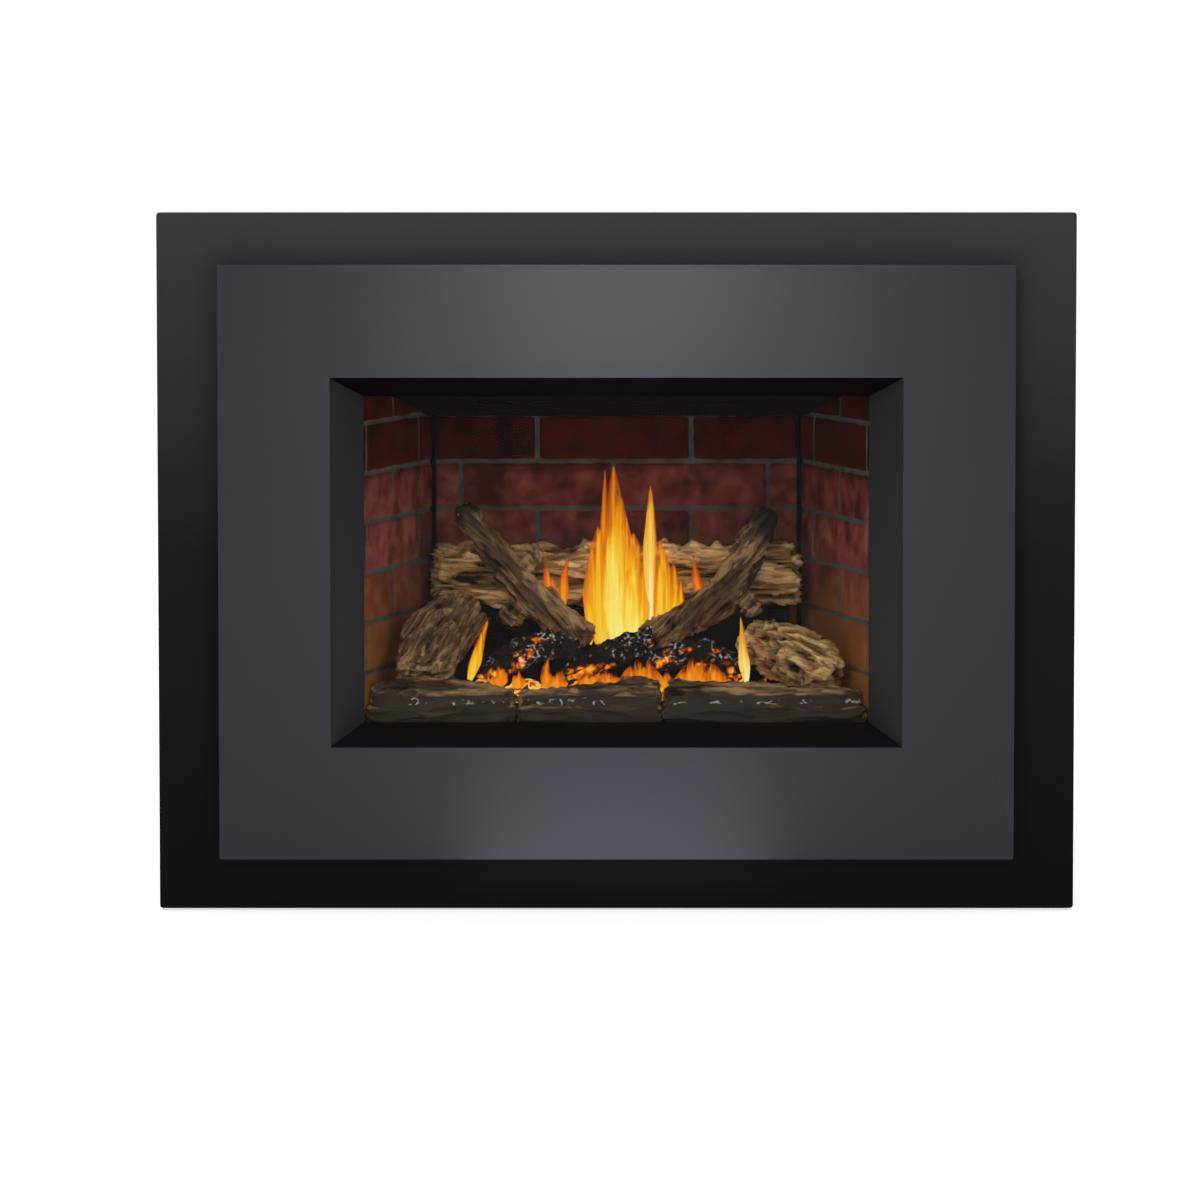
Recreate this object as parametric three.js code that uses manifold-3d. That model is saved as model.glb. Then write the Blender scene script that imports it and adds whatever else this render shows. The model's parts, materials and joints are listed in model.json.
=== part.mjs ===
// Direct-vent gas fireplace insert with a four-sided surround, brick-lined firebox and ceramic log set.
// Millimetres, +Z up. The front faces -Y. The origin is on the hearth floor, under the middle of the insert.
import * as THREE from 'three';
import { mergeVertices } from 'three/addons/utils/BufferGeometryUtils.js';
import Module from 'manifold-3d';

const wasm = await Module();
wasm.setup();

// ---------------------------------------------------------------- driving dimensions
// Inside the insert, y is the depth behind the faceplate's front, and x = 0 is the middle.
const SEAT = 0.3; // gap left between two pieces that rest on each other

const OPENING_WIDTH = 664; // window cut in the faceplate
const OPENING_HEIGHT = 430;

const SURROUND_BORDER_SIDE = 71.5; // surround seen beyond the faceplate, left and right
const SURROUND_BORDER_END = 60; // and above and below
const SURROUND_RETURN = 16; // how far its folded edge reaches back to the wall
const SURROUND_SHEET = 2;
const SURROUND_CORNER = 4;

const FACE_BORDER_SIDE = 130; // faceplate seen round its window
const FACE_BORDER_END = 131;
const FACE_RETURN = 16;
const FACE_SHEET = 2;
const FACE_CORNER = 3;
const AIR_GAP = 6; // warm air leaves between the faceplate's edge and the surround

const BEVEL_DEPTH = 54; // front to back of the sloping trim
const BEVEL_SIDE = 37; // how far its sides lean in
const BEVEL_TOP = 24; // how far its top and bottom lean in
const BEVEL_SHEET = 1.5;
const BEVEL_FLANGE = 12;
const MITRE_GAP = 0.4;

const CASING_MARGIN = 30; // casing side beyond the window's side
const CASING_BASE_Z = 20; // clear height on the feet
const CASING_HEADROOM = 30; // firebox ceiling to casing top
const CASING_DEPTH = 400; // front flange to back
const CASING_SHEET = 1.5;
const CASING_FLANGE = 14;
const LAP_SIDE = 12; // surround over the casing's front flange
const LAP_TOP = 20;
const SERVICE_SILL = 64; // lower edge of the surround's opening above the casing base

const DOOR_GAP = 4; // bevel trim to door frame
const DOOR_OVERLAP = 30; // door frame beyond the bevel trim's inner edge, all round
const DOOR_DEPTH = 14;
const DOOR_SHEET = 2;
const DOOR_LIP = 24; // front lip round the glass
const GLASS_THICKNESS = 5;
const GLASS_MARGIN = 8; // door wall to glass edge, filled by the rope gasket
const GASKET_LIP = 10; // how far the gasket overlaps the glass

const FIREBOX_SHEET = 1.5;
const SERVICE_HEIGHT = 176; // casing base to the top of the firebox floor
const FLOOR_ABOVE_DOOR_FOOT = 9;
const CEILING_ABOVE_DOOR = 1;
const FIREBOX_CLEARANCE = 39.7; // firebox back plate to the casing's back
const MOUTH_FLANGE_BELOW = 16; // flange under the floor plate
const MOUTH_FLANGE_ABOVE = 14;

const BRICK_START = 4; // mouth flange to the panels' front edge
const BRICK_MARGIN = 3.5; // brick face beyond the bevel trim's inner edge, at the panels' front
const BRICK_LEAN = 73.5; // how far each side panel comes in by the back corner
const BRICK_PANEL = 18;
const MORTAR_DEPTH = 2.4;
const MORTAR_WIDTH = 8;
const COURSE = 59; // brick and mortar, bottom to bottom
const COURSE_LINE = 251; // height of a mortar line above the floor, which the courses are counted from
const BACK_BRICK = 188.5;
const SIDE_BRICK = 218;
const SIDE_JOINTS = [131, 22]; // first upright joint behind the panels' front, in even and in odd courses
const BACK_JOINTS = [33.5, 128]; // the same from the back left corner
const CORNER_GAP = 2.5;

const BAFFLE_SHEET = 2;
const BAFFLE_FRONT_DROP = 12; // under the ceiling
const BAFFLE_BACK_DROP = 68;
const BAFFLE_LEDGE = 16; // flat strip that lies on the back panel
const BAFFLE_SLOT_WIDTH = 338;
const BAFFLE_SLOT = 14;

const BURNER_WIDTH = 380;
const BURNER_SETBACK = 71.4; // behind the panels' front edge
const BURNER_CLEARANCE = 25.8; // burner to the log shelf
const BURNER_HEIGHT = 30;
const BURNER_SHEET = 1.5;
const PORTS = 12;
const PORT_RADIUS = 3;
const EMBER_BED = 12;

const MIXER_RADIUS = 16;
const MIXER_WALL = 1.5;
const MIXER_DROP = 48; // how far the tube hangs under the firebox floor
const SHUTTER_HEIGHT = 26;
const SHUTTER_WALL = 1.5;

const SHELF_WIDTH = 420;
const SHELF_HEIGHT = 134; // rear log's seat above the floor
const SHELF_DEPTH = 68;
const SHELF_GAP = 9; // shelf to the back bricks
const SHELF_SHEET = 2;

const COLLAR_RADIUS = 38;
const COLLAR_WALL = 1;
const COLLAR_HEIGHT = 48;
const COLLAR_FLANGE = 14;
const COLLAR_SPACING = 130;
const COLLAR_SETBACK = 134; // collar centres to the casing's back

const FLAP_X = 170; // middle of each relief flap
const FLAP_WIDTH = 200;
const FLAP_LENGTH = 62;
const FLAP_SHEET = 1.5;
const FLAP_HINGE = 90; // hinge line behind the mouth flange
const HINGE_PIN_RADIUS = 1.5;
const HINGE_WALL = 1.4;
const PIN_CLEARANCE = 0.3;

const FOOT_RADIUS = 15;
const FOOT_PAD = 5;
const STUD_RADIUS = 4;
const NUT_RADIUS = 8;
const FOOT_INSET_SIDE = 42;
const FOOT_INSET_END = 35;

const BLOWER_SETBACK = 94; // wheel axis to the casing's back
const BLOWER_HEIGHT = 72; // wheel axis above the casing base
const BLOWER_RADIUS = 34;
const BLOWER_LENGTH = 300;
const BLOWER_BLADES = 14;
const BLOWER_X = -10; // middle of the wheel
const BLOWER_SHAFT = 3;
const HOUSING_CLEARANCE = 8;
const HOUSING_SHEET = 1.5;
const MOTOR_RADIUS = 36;
const MOTOR_LENGTH = 60;

const BRACKET_SETBACK = 68; // behind the casing's front
const BRACKET_HALF = 270;
const BRACKET_HEIGHT = 62;
const BRACKET_LIFT = 72; // lower edge of its upright plate above the casing base
const KNOB_LINE = 31; // control centres above that edge
const BRACKET_SHEET = 2;

const VALVE_X = 150;
const VALVE_WIDTH = 92;
const VALVE_DEPTH = 58;
const VALVE_HEIGHT = 46;
const KNOB_RADIUS = 16;
const KNOB_LENGTH = 18;
const FLAME_KNOB_RADIUS = 10;
const FLAME_KNOB_LENGTH = 14;
const SPINDLE_RADIUS = 3;
const SPEED_KNOB_X = -200;
const SWITCH_X = -130;
const IGNITER_X = 40;
const PIPE_RADIUS = 8;
const PIPE_LIFT = 42; // pipe axis above the casing base
const PIPE_CLEARANCE = 12; // pipe axis behind the bracket plate
const PIPE_STUB = 24; // how far the inlet pipe stands out of the casing
const COCK_X = 296;

const LATCH_X = 262;
const LATCH_CAM = 9;
const LATCH_FLAT = 6;
const LATCH_ARM = 18;
const LATCH_SWING = 55; // degrees
const LATCH_THICKNESS = 5;

// ---------------------------------------------------------------- worked-out places
const FACE_WIDTH = OPENING_WIDTH + 2 * FACE_BORDER_SIDE;
const FACE_HEIGHT = OPENING_HEIGHT + 2 * FACE_BORDER_END;
const SURROUND_WIDTH = FACE_WIDTH + 2 * SURROUND_BORDER_SIDE;
const SURROUND_HEIGHT = FACE_HEIGHT + 2 * SURROUND_BORDER_END;
const INNER_WIDTH = OPENING_WIDTH - 2 * BEVEL_SIDE; // the bevel trim's inner edge
const INNER_HEIGHT = OPENING_HEIGHT - 2 * BEVEL_TOP;
const DOOR_WIDTH = INNER_WIDTH + 2 * DOOR_OVERLAP;
const DOOR_HEIGHT = INNER_HEIGHT + 2 * DOOR_OVERLAP;
const FIREBOX_FLOOR_Z = CASING_BASE_Z + SERVICE_HEIGHT; // top of the floor plate
const CENTRE_Z = FIREBOX_FLOOR_Z - FLOOR_ABOVE_DOOR_FOOT + DOOR_HEIGHT / 2; // of window, door and surround
const FIREBOX_CEILING_Z = CENTRE_Z + DOOR_HEIGHT / 2 + CEILING_ABOVE_DOOR; // under the top plate
const CASING_TOP_Z = FIREBOX_CEILING_Z + CASING_HEADROOM;
const CASING_WIDTH = OPENING_WIDTH + 2 * CASING_MARGIN;
const SURROUND_Y = FACE_RETURN + AIR_GAP;
const WALL_Y = SURROUND_Y + SURROUND_RETURN;
const CASING_Y = SURROUND_Y + SURROUND_SHEET + SEAT;
const CASING_BACK_Y = CASING_Y + CASING_DEPTH;
const BEVEL_Y = FACE_SHEET + SEAT;
const DOOR_Y = BEVEL_Y + BEVEL_DEPTH + DOOR_GAP;
const MOUTH_Y = DOOR_Y + DOOR_DEPTH + SEAT;
const FIREBOX_BACK_Y = CASING_BACK_Y - FIREBOX_CLEARANCE;
const BRICK_Y = MOUTH_Y + BRICK_START;
const BRICK_FRONT_HALF = INNER_WIDTH / 2 + BRICK_MARGIN;
const BRICK_BACK_HALF = BRICK_FRONT_HALF - BRICK_LEAN;
const COURSE_LINE_Z = FIREBOX_FLOOR_Z + COURSE_LINE;
const BAFFLE_FRONT_Z = FIREBOX_CEILING_Z - BAFFLE_FRONT_DROP;
const BAFFLE_BACK_Z = FIREBOX_CEILING_Z - BAFFLE_BACK_DROP;
const BACK_BRICK_Y = FIREBOX_BACK_Y - FIREBOX_SHEET - SEAT - BRICK_PANEL;
const SPLAY = Math.atan2(BRICK_FRONT_HALF - BRICK_BACK_HALF, BACK_BRICK_Y - BRICK_Y);
const SHELF_BACK = BACK_BRICK_Y - SHELF_GAP;
const SHELF_FRONT = SHELF_BACK - SHELF_DEPTH;
const BURNER_FRONT = BRICK_Y + BURNER_SETBACK;
const BURNER_BACK = SHELF_FRONT - BURNER_CLEARANCE;
const BED_Z = FIREBOX_FLOOR_Z + SEAT + BURNER_HEIGHT;
const MIXER_Y = (BURNER_FRONT + BURNER_BACK) / 2;
const MIXER_BOTTOM_Z = FIREBOX_FLOOR_Z - MIXER_DROP;
const SHELF_Z = FIREBOX_FLOOR_Z + SHELF_HEIGHT;
const COLLAR_Y = CASING_BACK_Y - COLLAR_SETBACK;
const FLAP_Y = MOUTH_Y + FLAP_HINGE;
const BLOWER_Y = CASING_BACK_Y - BLOWER_SETBACK;
const BLOWER_Z = CASING_BASE_Z + BLOWER_HEIGHT;
const BRACKET_Y = CASING_Y + BRACKET_SETBACK;
const BRACKET_Z = CASING_BASE_Z + BRACKET_LIFT;
const knobZ = BRACKET_Z + KNOB_LINE;
const pipeZ = CASING_BASE_Z + PIPE_LIFT;
const pipeY = BRACKET_Y + BRACKET_SHEET + PIPE_CLEARANCE;

// ---------------------------------------------------------------- finishes
const finish = (color, roughness, metalness) => (
  new THREE.MeshStandardMaterial({ color, roughness, metalness })
);
const blackPaint = finish(0x1f1f20, 0.55, 0.3);
const charcoalPaint = finish(0x46474b, 0.4, 0.6);
const trimPaint = finish(0x18181a, 0.5, 0.3);
const sootBlack = finish(0x101011, 0.7, 0.2);
const galvanised = finish(0x9a9ea2, 0.45, 0.8);
const stainless = finish(0xa7a9ab, 0.35, 0.9);
const glassFinish = finish(0x3a3f42, 0.05, 0);
const ropeGrey = finish(0x55524d, 0.95, 0);
const brickRed = finish(0x5a2c28, 0.9, 0);
const barkBrown = finish(0x6e5438, 0.95, 0);
const charBlack = finish(0x2a2725, 0.95, 0);
const emberOrange = finish(0xc4561a, 0.9, 0);
const brassFinish = finish(0xa98c4a, 0.35, 0.9);
const moulded = finish(0x151515, 0.5, 0);
const switchRed = finish(0x8e1b17, 0.4, 0);

// ---------------------------------------------------------------- solids
function solid(geometry) {
  const bare = geometry.index ? geometry.toNonIndexed() : geometry.clone();
  bare.deleteAttribute('normal');
  bare.deleteAttribute('uv');
  const merged = mergeVertices(bare, 1e-4);
  const vertProperties = merged.attributes.position.array;
  const triVerts = new Uint32Array(merged.index.array);
  const made = new wasm.Manifold(new wasm.Mesh({ numProp: 3, vertProperties, triVerts }));
  if (made.volume() > 0) return made;
  triVerts.reverse(); // a profile drawn the other way round
  return new wasm.Manifold(new wasm.Mesh({ numProp: 3, vertProperties, triVerts }));
}

function geometryOf(body) {
  const mesh = body.getMesh();
  const positions = new Float32Array(mesh.numVert * 3);
  for (let i = 0; i < mesh.numVert; i += 1) {
    const start = i * mesh.numProp;
    positions.set(mesh.vertProperties.subarray(start, start + 3), i * 3);
  }
  const geometry = new THREE.BufferGeometry();
  geometry.setAttribute('position', new THREE.BufferAttribute(positions, 3));
  geometry.setIndex(new THREE.BufferAttribute(new Uint32Array(mesh.triVerts), 1));
  return geometry;
}

const join = (...bodies) => bodies.reduce((whole, body) => whole.add(body));
const cut = (body, ...tools) => tools.reduce((rest, tool) => rest.subtract(tool), body);

// The largest connected body, without the crumbs that a cut leaves.
function largest(body) {
  return body.decompose().sort((a, b) => b.volume() - a.volume())[0];
}

const box = (x0, x1, y0, y1, z0, z1) => solid(
  new THREE.BoxGeometry(x1 - x0, y1 - y0, z1 - z0).translate((x0 + x1) / 2, (y0 + y1) / 2, (z0 + z1) / 2),
);

function outline(points) {
  return new THREE.Shape(points.map(([a, b]) => new THREE.Vector2(a, b)));
}

function roundedRect(width, height, radius, middleZ = CENTRE_Z) {
  const [a, b] = [width / 2, height / 2];
  const shape = new THREE.Shape();
  shape.moveTo(-a + radius, middleZ - b);
  shape.lineTo(a - radius, middleZ - b);
  shape.absarc(a - radius, middleZ - b + radius, radius, -Math.PI / 2, 0, false);
  shape.lineTo(a, middleZ + b - radius);
  shape.absarc(a - radius, middleZ + b - radius, radius, 0, Math.PI / 2, false);
  shape.lineTo(-a + radius, middleZ + b);
  shape.absarc(-a + radius, middleZ + b - radius, radius, Math.PI / 2, Math.PI, false);
  shape.lineTo(-a, middleZ - b + radius);
  shape.absarc(-a + radius, middleZ - b + radius, radius, Math.PI, Math.PI * 1.5, false);
  return shape;
}

const extrude = (shape, depth, curveSegments = 3) => (
  new THREE.ExtrudeGeometry(shape, { depth, curveSegments, bevelEnabled: false })
);

// A front view (x, z) given depth from y0 to y1.
const frontPrism = (shape, y0, y1, segments) => (
  solid(extrude(shape, y1 - y0, segments).rotateX(Math.PI / 2).translate(0, y1, 0))
);
// A plan (x, y) raised from z0 to z1.
const planPrism = (shape, z0, z1, segments) => solid(extrude(shape, z1 - z0, segments).translate(0, 0, z0));
// A side view (y, z) drawn out from x0 to x1.
const alongX = new THREE.Matrix4().set(0, 0, 1, 0, 1, 0, 0, 0, 0, 1, 0, 0, 0, 0, 0, 1);
const sidePrism = (shape, x0, x1, segments) => (
  solid(extrude(shape, x1 - x0, segments).applyMatrix4(alongX).translate(x0, 0, 0))
);

// A turned piece: profile points are (radius, height along the axis), on an axis along Z, X or -Y.
function turned(profile, axis = 'z', sides = 20) {
  const geometry = new THREE.LatheGeometry(profile.map(([r, h]) => new THREE.Vector2(r, h)), sides);
  geometry.rotateX(Math.PI / 2);
  if (axis === 'x') geometry.rotateY(Math.PI / 2);
  if (axis === 'front') geometry.rotateX(Math.PI / 2);
  return solid(geometry);
}

const rod = (radius, z0, z1, sides = 20) => (
  turned([[0, z0], [radius, z0], [radius, z1], [0, z1]], 'z', sides)
);
const rodX = (radius, x0, x1, sides = 20) => (
  turned([[0, x0], [radius, x0], [radius, x1], [0, x1]], 'x', sides)
);

// A round bar or tube along a route with rounded bends.
function bentTube(points, radius, bend) {
  const path = new THREE.CurvePath();
  const corners = points.map((p) => new THREE.Vector3(...p));
  let start = corners[0];
  for (let i = 1; i < corners.length - 1; i += 1) {
    const before = corners[i].clone().add(corners[i - 1].clone().sub(corners[i]).setLength(bend));
    const after = corners[i].clone().add(corners[i + 1].clone().sub(corners[i]).setLength(bend));
    path.add(new THREE.LineCurve3(start, before));
    path.add(new THREE.QuadraticBezierCurve3(before, corners[i], after));
    start = after;
  }
  path.add(new THREE.LineCurve3(start, corners.at(-1)));
  const circle = new THREE.Shape().absarc(0, 0, radius, 0, Math.PI * 2);
  const steps = 5 * points.length;
  return solid(new THREE.ExtrudeGeometry(circle, { steps, curveSegments: 2, extrudePath: path }));
}

// ---------------------------------------------------------------- the assembly
const insert = new THREE.Group();
insert.position.y = -CASING_BACK_Y / 2;

function add(name, body, material) {
  const mesh = new THREE.Mesh(geometryOf(body), material);
  mesh.name = name;
  insert.add(mesh);
  return mesh;
}

// ---------------------------------------------------------------- surround and faceplate
// Each is one sheet with its four edges folded back, so it is a shallow pan with a window.
function foldedPanel(width, height, corner, sheet, y, depth, opening) {
  const pan = frontPrism(roundedRect(width, height, corner), y, y + depth);
  const hollow = frontPrism(
    roundedRect(width - 2 * sheet, height - 2 * sheet, corner - sheet + 0.5), y + sheet, y + depth + 1,
  );
  return cut(pan, hollow, opening);
}

const surroundOpening = box(
  LAP_SIDE - CASING_WIDTH / 2, CASING_WIDTH / 2 - LAP_SIDE,
  SURROUND_Y - 1, WALL_Y + 1,
  CASING_BASE_Z + SERVICE_SILL, CASING_TOP_Z - LAP_TOP,
);
add('surround_backer', foldedPanel(
  SURROUND_WIDTH, SURROUND_HEIGHT, SURROUND_CORNER, SURROUND_SHEET,
  SURROUND_Y, SURROUND_RETURN, surroundOpening,
), blackPaint);

const faceOpening = box(
  -OPENING_WIDTH / 2, OPENING_WIDTH / 2, -1, FACE_RETURN + 1,
  CENTRE_Z - OPENING_HEIGHT / 2, CENTRE_Z + OPENING_HEIGHT / 2,
);
add('faceplate', foldedPanel(
  FACE_WIDTH, FACE_HEIGHT, FACE_CORNER, FACE_SHEET, 0, FACE_RETURN, faceOpening,
), charcoalPaint);

// A hanger frame stands the faceplate off the surround: two hat-section rails, joined over the window.
const RAIL_INSET = 57; // rail centre inside the faceplate's side
const RAIL_HEIGHT = 420;
const RAIL_CROWN = 18;
const RAIL_FOOT = 12;
const RAIL_SHEET = 1.5;
const HANGER_BAR = 24;
const railX = FACE_WIDTH / 2 - RAIL_INSET;
const railFront = FACE_SHEET + SEAT;
const railBack = SURROUND_Y - SEAT;
const railProfile = outline([
  [-RAIL_CROWN / 2 - RAIL_FOOT, railFront], [-RAIL_CROWN / 2 + RAIL_SHEET, railFront],
  [-RAIL_CROWN / 2 + RAIL_SHEET, railBack - RAIL_SHEET], [RAIL_CROWN / 2 - RAIL_SHEET, railBack - RAIL_SHEET],
  [RAIL_CROWN / 2 - RAIL_SHEET, railFront], [RAIL_CROWN / 2 + RAIL_FOOT, railFront],
  [RAIL_CROWN / 2 + RAIL_FOOT, railFront + RAIL_SHEET], [RAIL_CROWN / 2, railFront + RAIL_SHEET],
  [RAIL_CROWN / 2, railBack], [-RAIL_CROWN / 2, railBack],
  [-RAIL_CROWN / 2, railFront + RAIL_SHEET], [-RAIL_CROWN / 2 - RAIL_FOOT, railFront + RAIL_SHEET],
]);
const railEnds = [CENTRE_Z - RAIL_HEIGHT / 2, CENTRE_Z + OPENING_HEIGHT / 2 + BEVEL_FLANGE + 4 + HANGER_BAR];
const rails = [-1, 1].map((side) => planPrism(railProfile, ...railEnds).translate([side * railX, 0, 0]));
const hangerBar = box(
  -railX - RAIL_CROWN / 2, railX + RAIL_CROWN / 2, railFront, railFront + RAIL_SHEET,
  railEnds[1] - HANGER_BAR, railEnds[1],
);
add('hanger_frame', join(...rails, hangerBar), galvanised);

// ---------------------------------------------------------------- bevel trim
// Four sloping strips with a flange at each edge, mitred at the corners.
const halfOpening = { x: OPENING_WIDTH / 2, z: OPENING_HEIGHT / 2 };

// Profile in (distance from the middle, depth), for a strip that leans in by `lean`.
function bevelProfile(outer, lean) {
  const inner = outer - lean;
  const [front, back] = [BEVEL_Y, BEVEL_Y + BEVEL_DEPTH];
  const slant = Math.hypot(lean, BEVEL_DEPTH) / BEVEL_DEPTH * BEVEL_SHEET;
  return [
    [outer, front], [outer + BEVEL_FLANGE, front], [outer + BEVEL_FLANGE, front + BEVEL_SHEET],
    [outer + slant - lean * BEVEL_SHEET / BEVEL_DEPTH, front + BEVEL_SHEET],
    [inner + slant + lean * BEVEL_SHEET / BEVEL_DEPTH, back - BEVEL_SHEET],
    [inner + BEVEL_FLANGE, back - BEVEL_SHEET], [inner + BEVEL_FLANGE, back], [inner, back],
  ];
}

// The front view of one strip's share: the corner lines run through the outer and inner corners.
function mitreShare(halfLength, halfAcross, leanLong, leanAcross) {
  const line = (k) => [halfLength + k * leanLong - MITRE_GAP / 2, halfAcross + k * leanAcross];
  const [far, near] = [line(0.9), line(-1.4)];
  return outline([[-far[0], far[1]], [far[0], far[1]], [near[0], near[1]], [-near[0], near[1]]]);
}

const topProfile = bevelProfile(halfOpening.z, BEVEL_TOP);
const topStrip = sidePrism(
  outline(topProfile.map(([across, depth]) => [depth, across])),
  -halfOpening.x - BEVEL_FLANGE, halfOpening.x + BEVEL_FLANGE,
);
const topShare = frontPrism(mitreShare(halfOpening.x, halfOpening.z, BEVEL_SIDE, BEVEL_TOP), 0, DOOR_Y);
const bevelTop = topStrip.intersect(topShare);
add('bevel_trim_top', bevelTop.translate([0, 0, CENTRE_Z]), trimPaint);
add('bevel_trim_bottom', bevelTop.rotate([0, 180, 0]).translate([0, 0, CENTRE_Z]), trimPaint);

const sideProfile = bevelProfile(halfOpening.x, BEVEL_SIDE);
const sideStrip = planPrism(
  outline(sideProfile), -halfOpening.z - BEVEL_FLANGE, halfOpening.z + BEVEL_FLANGE,
);
const sideShare = frontPrism(
  mitreShare(halfOpening.z, halfOpening.x, BEVEL_TOP, BEVEL_SIDE), 0, DOOR_Y,
).rotate([0, 90, 0]);
const bevelSide = sideStrip.intersect(sideShare);
add('bevel_trim_right', bevelSide.translate([0, 0, CENTRE_Z]), trimPaint);
add('bevel_trim_left', bevelSide.rotate([0, 180, 0]).translate([0, 0, CENTRE_Z]), trimPaint);

// ---------------------------------------------------------------- glass door
const doorWindow = { width: DOOR_WIDTH - 2 * DOOR_LIP, height: DOOR_HEIGHT - 2 * DOOR_LIP };
const doorInner = { width: DOOR_WIDTH - 2 * DOOR_SHEET, height: DOOR_HEIGHT - 2 * DOOR_SHEET };
const centred = (width, height, y0, y1) => (
  box(-width / 2, width / 2, y0, y1, CENTRE_Z - height / 2, CENTRE_Z + height / 2)
);
const doorFrame = cut(
  frontPrism(roundedRect(DOOR_WIDTH, DOOR_HEIGHT, FACE_CORNER), DOOR_Y, DOOR_Y + DOOR_DEPTH),
  centred(doorInner.width, doorInner.height, DOOR_Y + DOOR_SHEET, DOOR_Y + DOOR_DEPTH + 1),
  centred(doorWindow.width, doorWindow.height, DOOR_Y - 1, DOOR_Y + DOOR_DEPTH),
);
add('door_frame', doorFrame, sootBlack);

const glass = { width: doorInner.width - 2 * GLASS_MARGIN, height: doorInner.height - 2 * GLASS_MARGIN };
const glassY = DOOR_Y + DOOR_DEPTH / 2 - GLASS_THICKNESS / 2 + 1;
add('glass_pane', centred(glass.width, glass.height, glassY, glassY + GLASS_THICKNESS), glassFinish);

// The rope gasket wraps the glass edge like a channel.
const gasket = cut(
  centred(
    doorInner.width - 2 * SEAT, doorInner.height - 2 * SEAT, DOOR_Y + DOOR_SHEET + SEAT, DOOR_Y + DOOR_DEPTH,
  ),
  centred(glass.width - 2 * GASKET_LIP, glass.height - 2 * GASKET_LIP, DOOR_Y, DOOR_Y + DOOR_DEPTH + 1),
  centred(glass.width + 2 * SEAT, glass.height + 2 * SEAT, glassY - SEAT, glassY + GLASS_THICKNESS + SEAT),
);
add('glass_gasket', gasket, ropeGrey);

// ---------------------------------------------------------------- firebox
// Half the width between the brick faces at depth y.
const brickHalf = (y) => BRICK_FRONT_HALF - (y - BRICK_Y) * Math.tan(SPLAY);
// The same line moved outwards, square to the wall.
const wallHalf = (y, offset) => brickHalf(y) + offset / Math.cos(SPLAY);
const boxPlan = (y0, y1, offset) => outline([
  [-wallHalf(y0, offset), y0], [wallHalf(y0, offset), y0],
  [wallHalf(y1, offset), y1], [-wallHalf(y1, offset), y1],
]);

const lining = BRICK_PANEL + SEAT;
const mouthHalf = CASING_WIDTH / 2 - CASING_SHEET - SEAT;
const mouthBottom = FIREBOX_FLOOR_Z - FIREBOX_SHEET - MOUTH_FLANGE_BELOW;
const mouthTop = FIREBOX_CEILING_Z + FIREBOX_SHEET + MOUTH_FLANGE_ABOVE;
const shellTop = FIREBOX_CEILING_Z - SEAT;
const shell = cut(
  join(
    planPrism(
      boxPlan(MOUTH_Y, FIREBOX_BACK_Y, lining + FIREBOX_SHEET), FIREBOX_FLOOR_Z - FIREBOX_SHEET, shellTop,
    ),
    box(-mouthHalf, mouthHalf, MOUTH_Y, MOUTH_Y + FIREBOX_SHEET, mouthBottom, mouthTop),
  ),
  planPrism(boxPlan(MOUTH_Y - 1, FIREBOX_BACK_Y - FIREBOX_SHEET, lining), FIREBOX_FLOOR_Z, shellTop + 1),
);
const topPlate = planPrism(
  boxPlan(MOUTH_Y + FIREBOX_SHEET + SEAT, FIREBOX_BACK_Y, lining + FIREBOX_SHEET),
  FIREBOX_CEILING_Z, FIREBOX_CEILING_Z + FIREBOX_SHEET,
);
const flapHole = (side) => box(
  side * FLAP_X - FLAP_WIDTH / 2 + 12, side * FLAP_X + FLAP_WIDTH / 2 - 12,
  FLAP_Y - FLAP_LENGTH + 10, FLAP_Y - 8,
  FIREBOX_CEILING_Z - 1, FIREBOX_CEILING_Z + FIREBOX_SHEET + 1,
);
const mixerHole = rod(MIXER_RADIUS + SEAT, FIREBOX_FLOOR_Z - 10, FIREBOX_FLOOR_Z + 1, 24)
  .translate([0, MIXER_Y, 0]);
const collarHole = (x, radius, z) => rod(radius, z - 6, z + 6, 24).translate([x, COLLAR_Y, 0]);
const exhaustHole = collarHole(-COLLAR_SPACING / 2, COLLAR_RADIUS - 4, FIREBOX_CEILING_Z);

// Two studs on the mouth flange carry the door's cam latches.
const latchZ = CENTRE_Z + DOOR_HEIGHT / 2 + SEAT + LATCH_CAM;
const latchY = MOUTH_Y - SEAT - LATCH_THICKNESS;
const latchStuds = [-1, 1].map((side) => turned([
  [0, -MOUTH_Y - 0.5], [2.5, -MOUTH_Y - 0.5], [2.5, -latchY + SEAT],
  [4.5, -latchY + SEAT], [4.5, -latchY + 3], [0, -latchY + 3],
], 'front', 12).translate([side * LATCH_X, 0, latchZ]));

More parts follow.
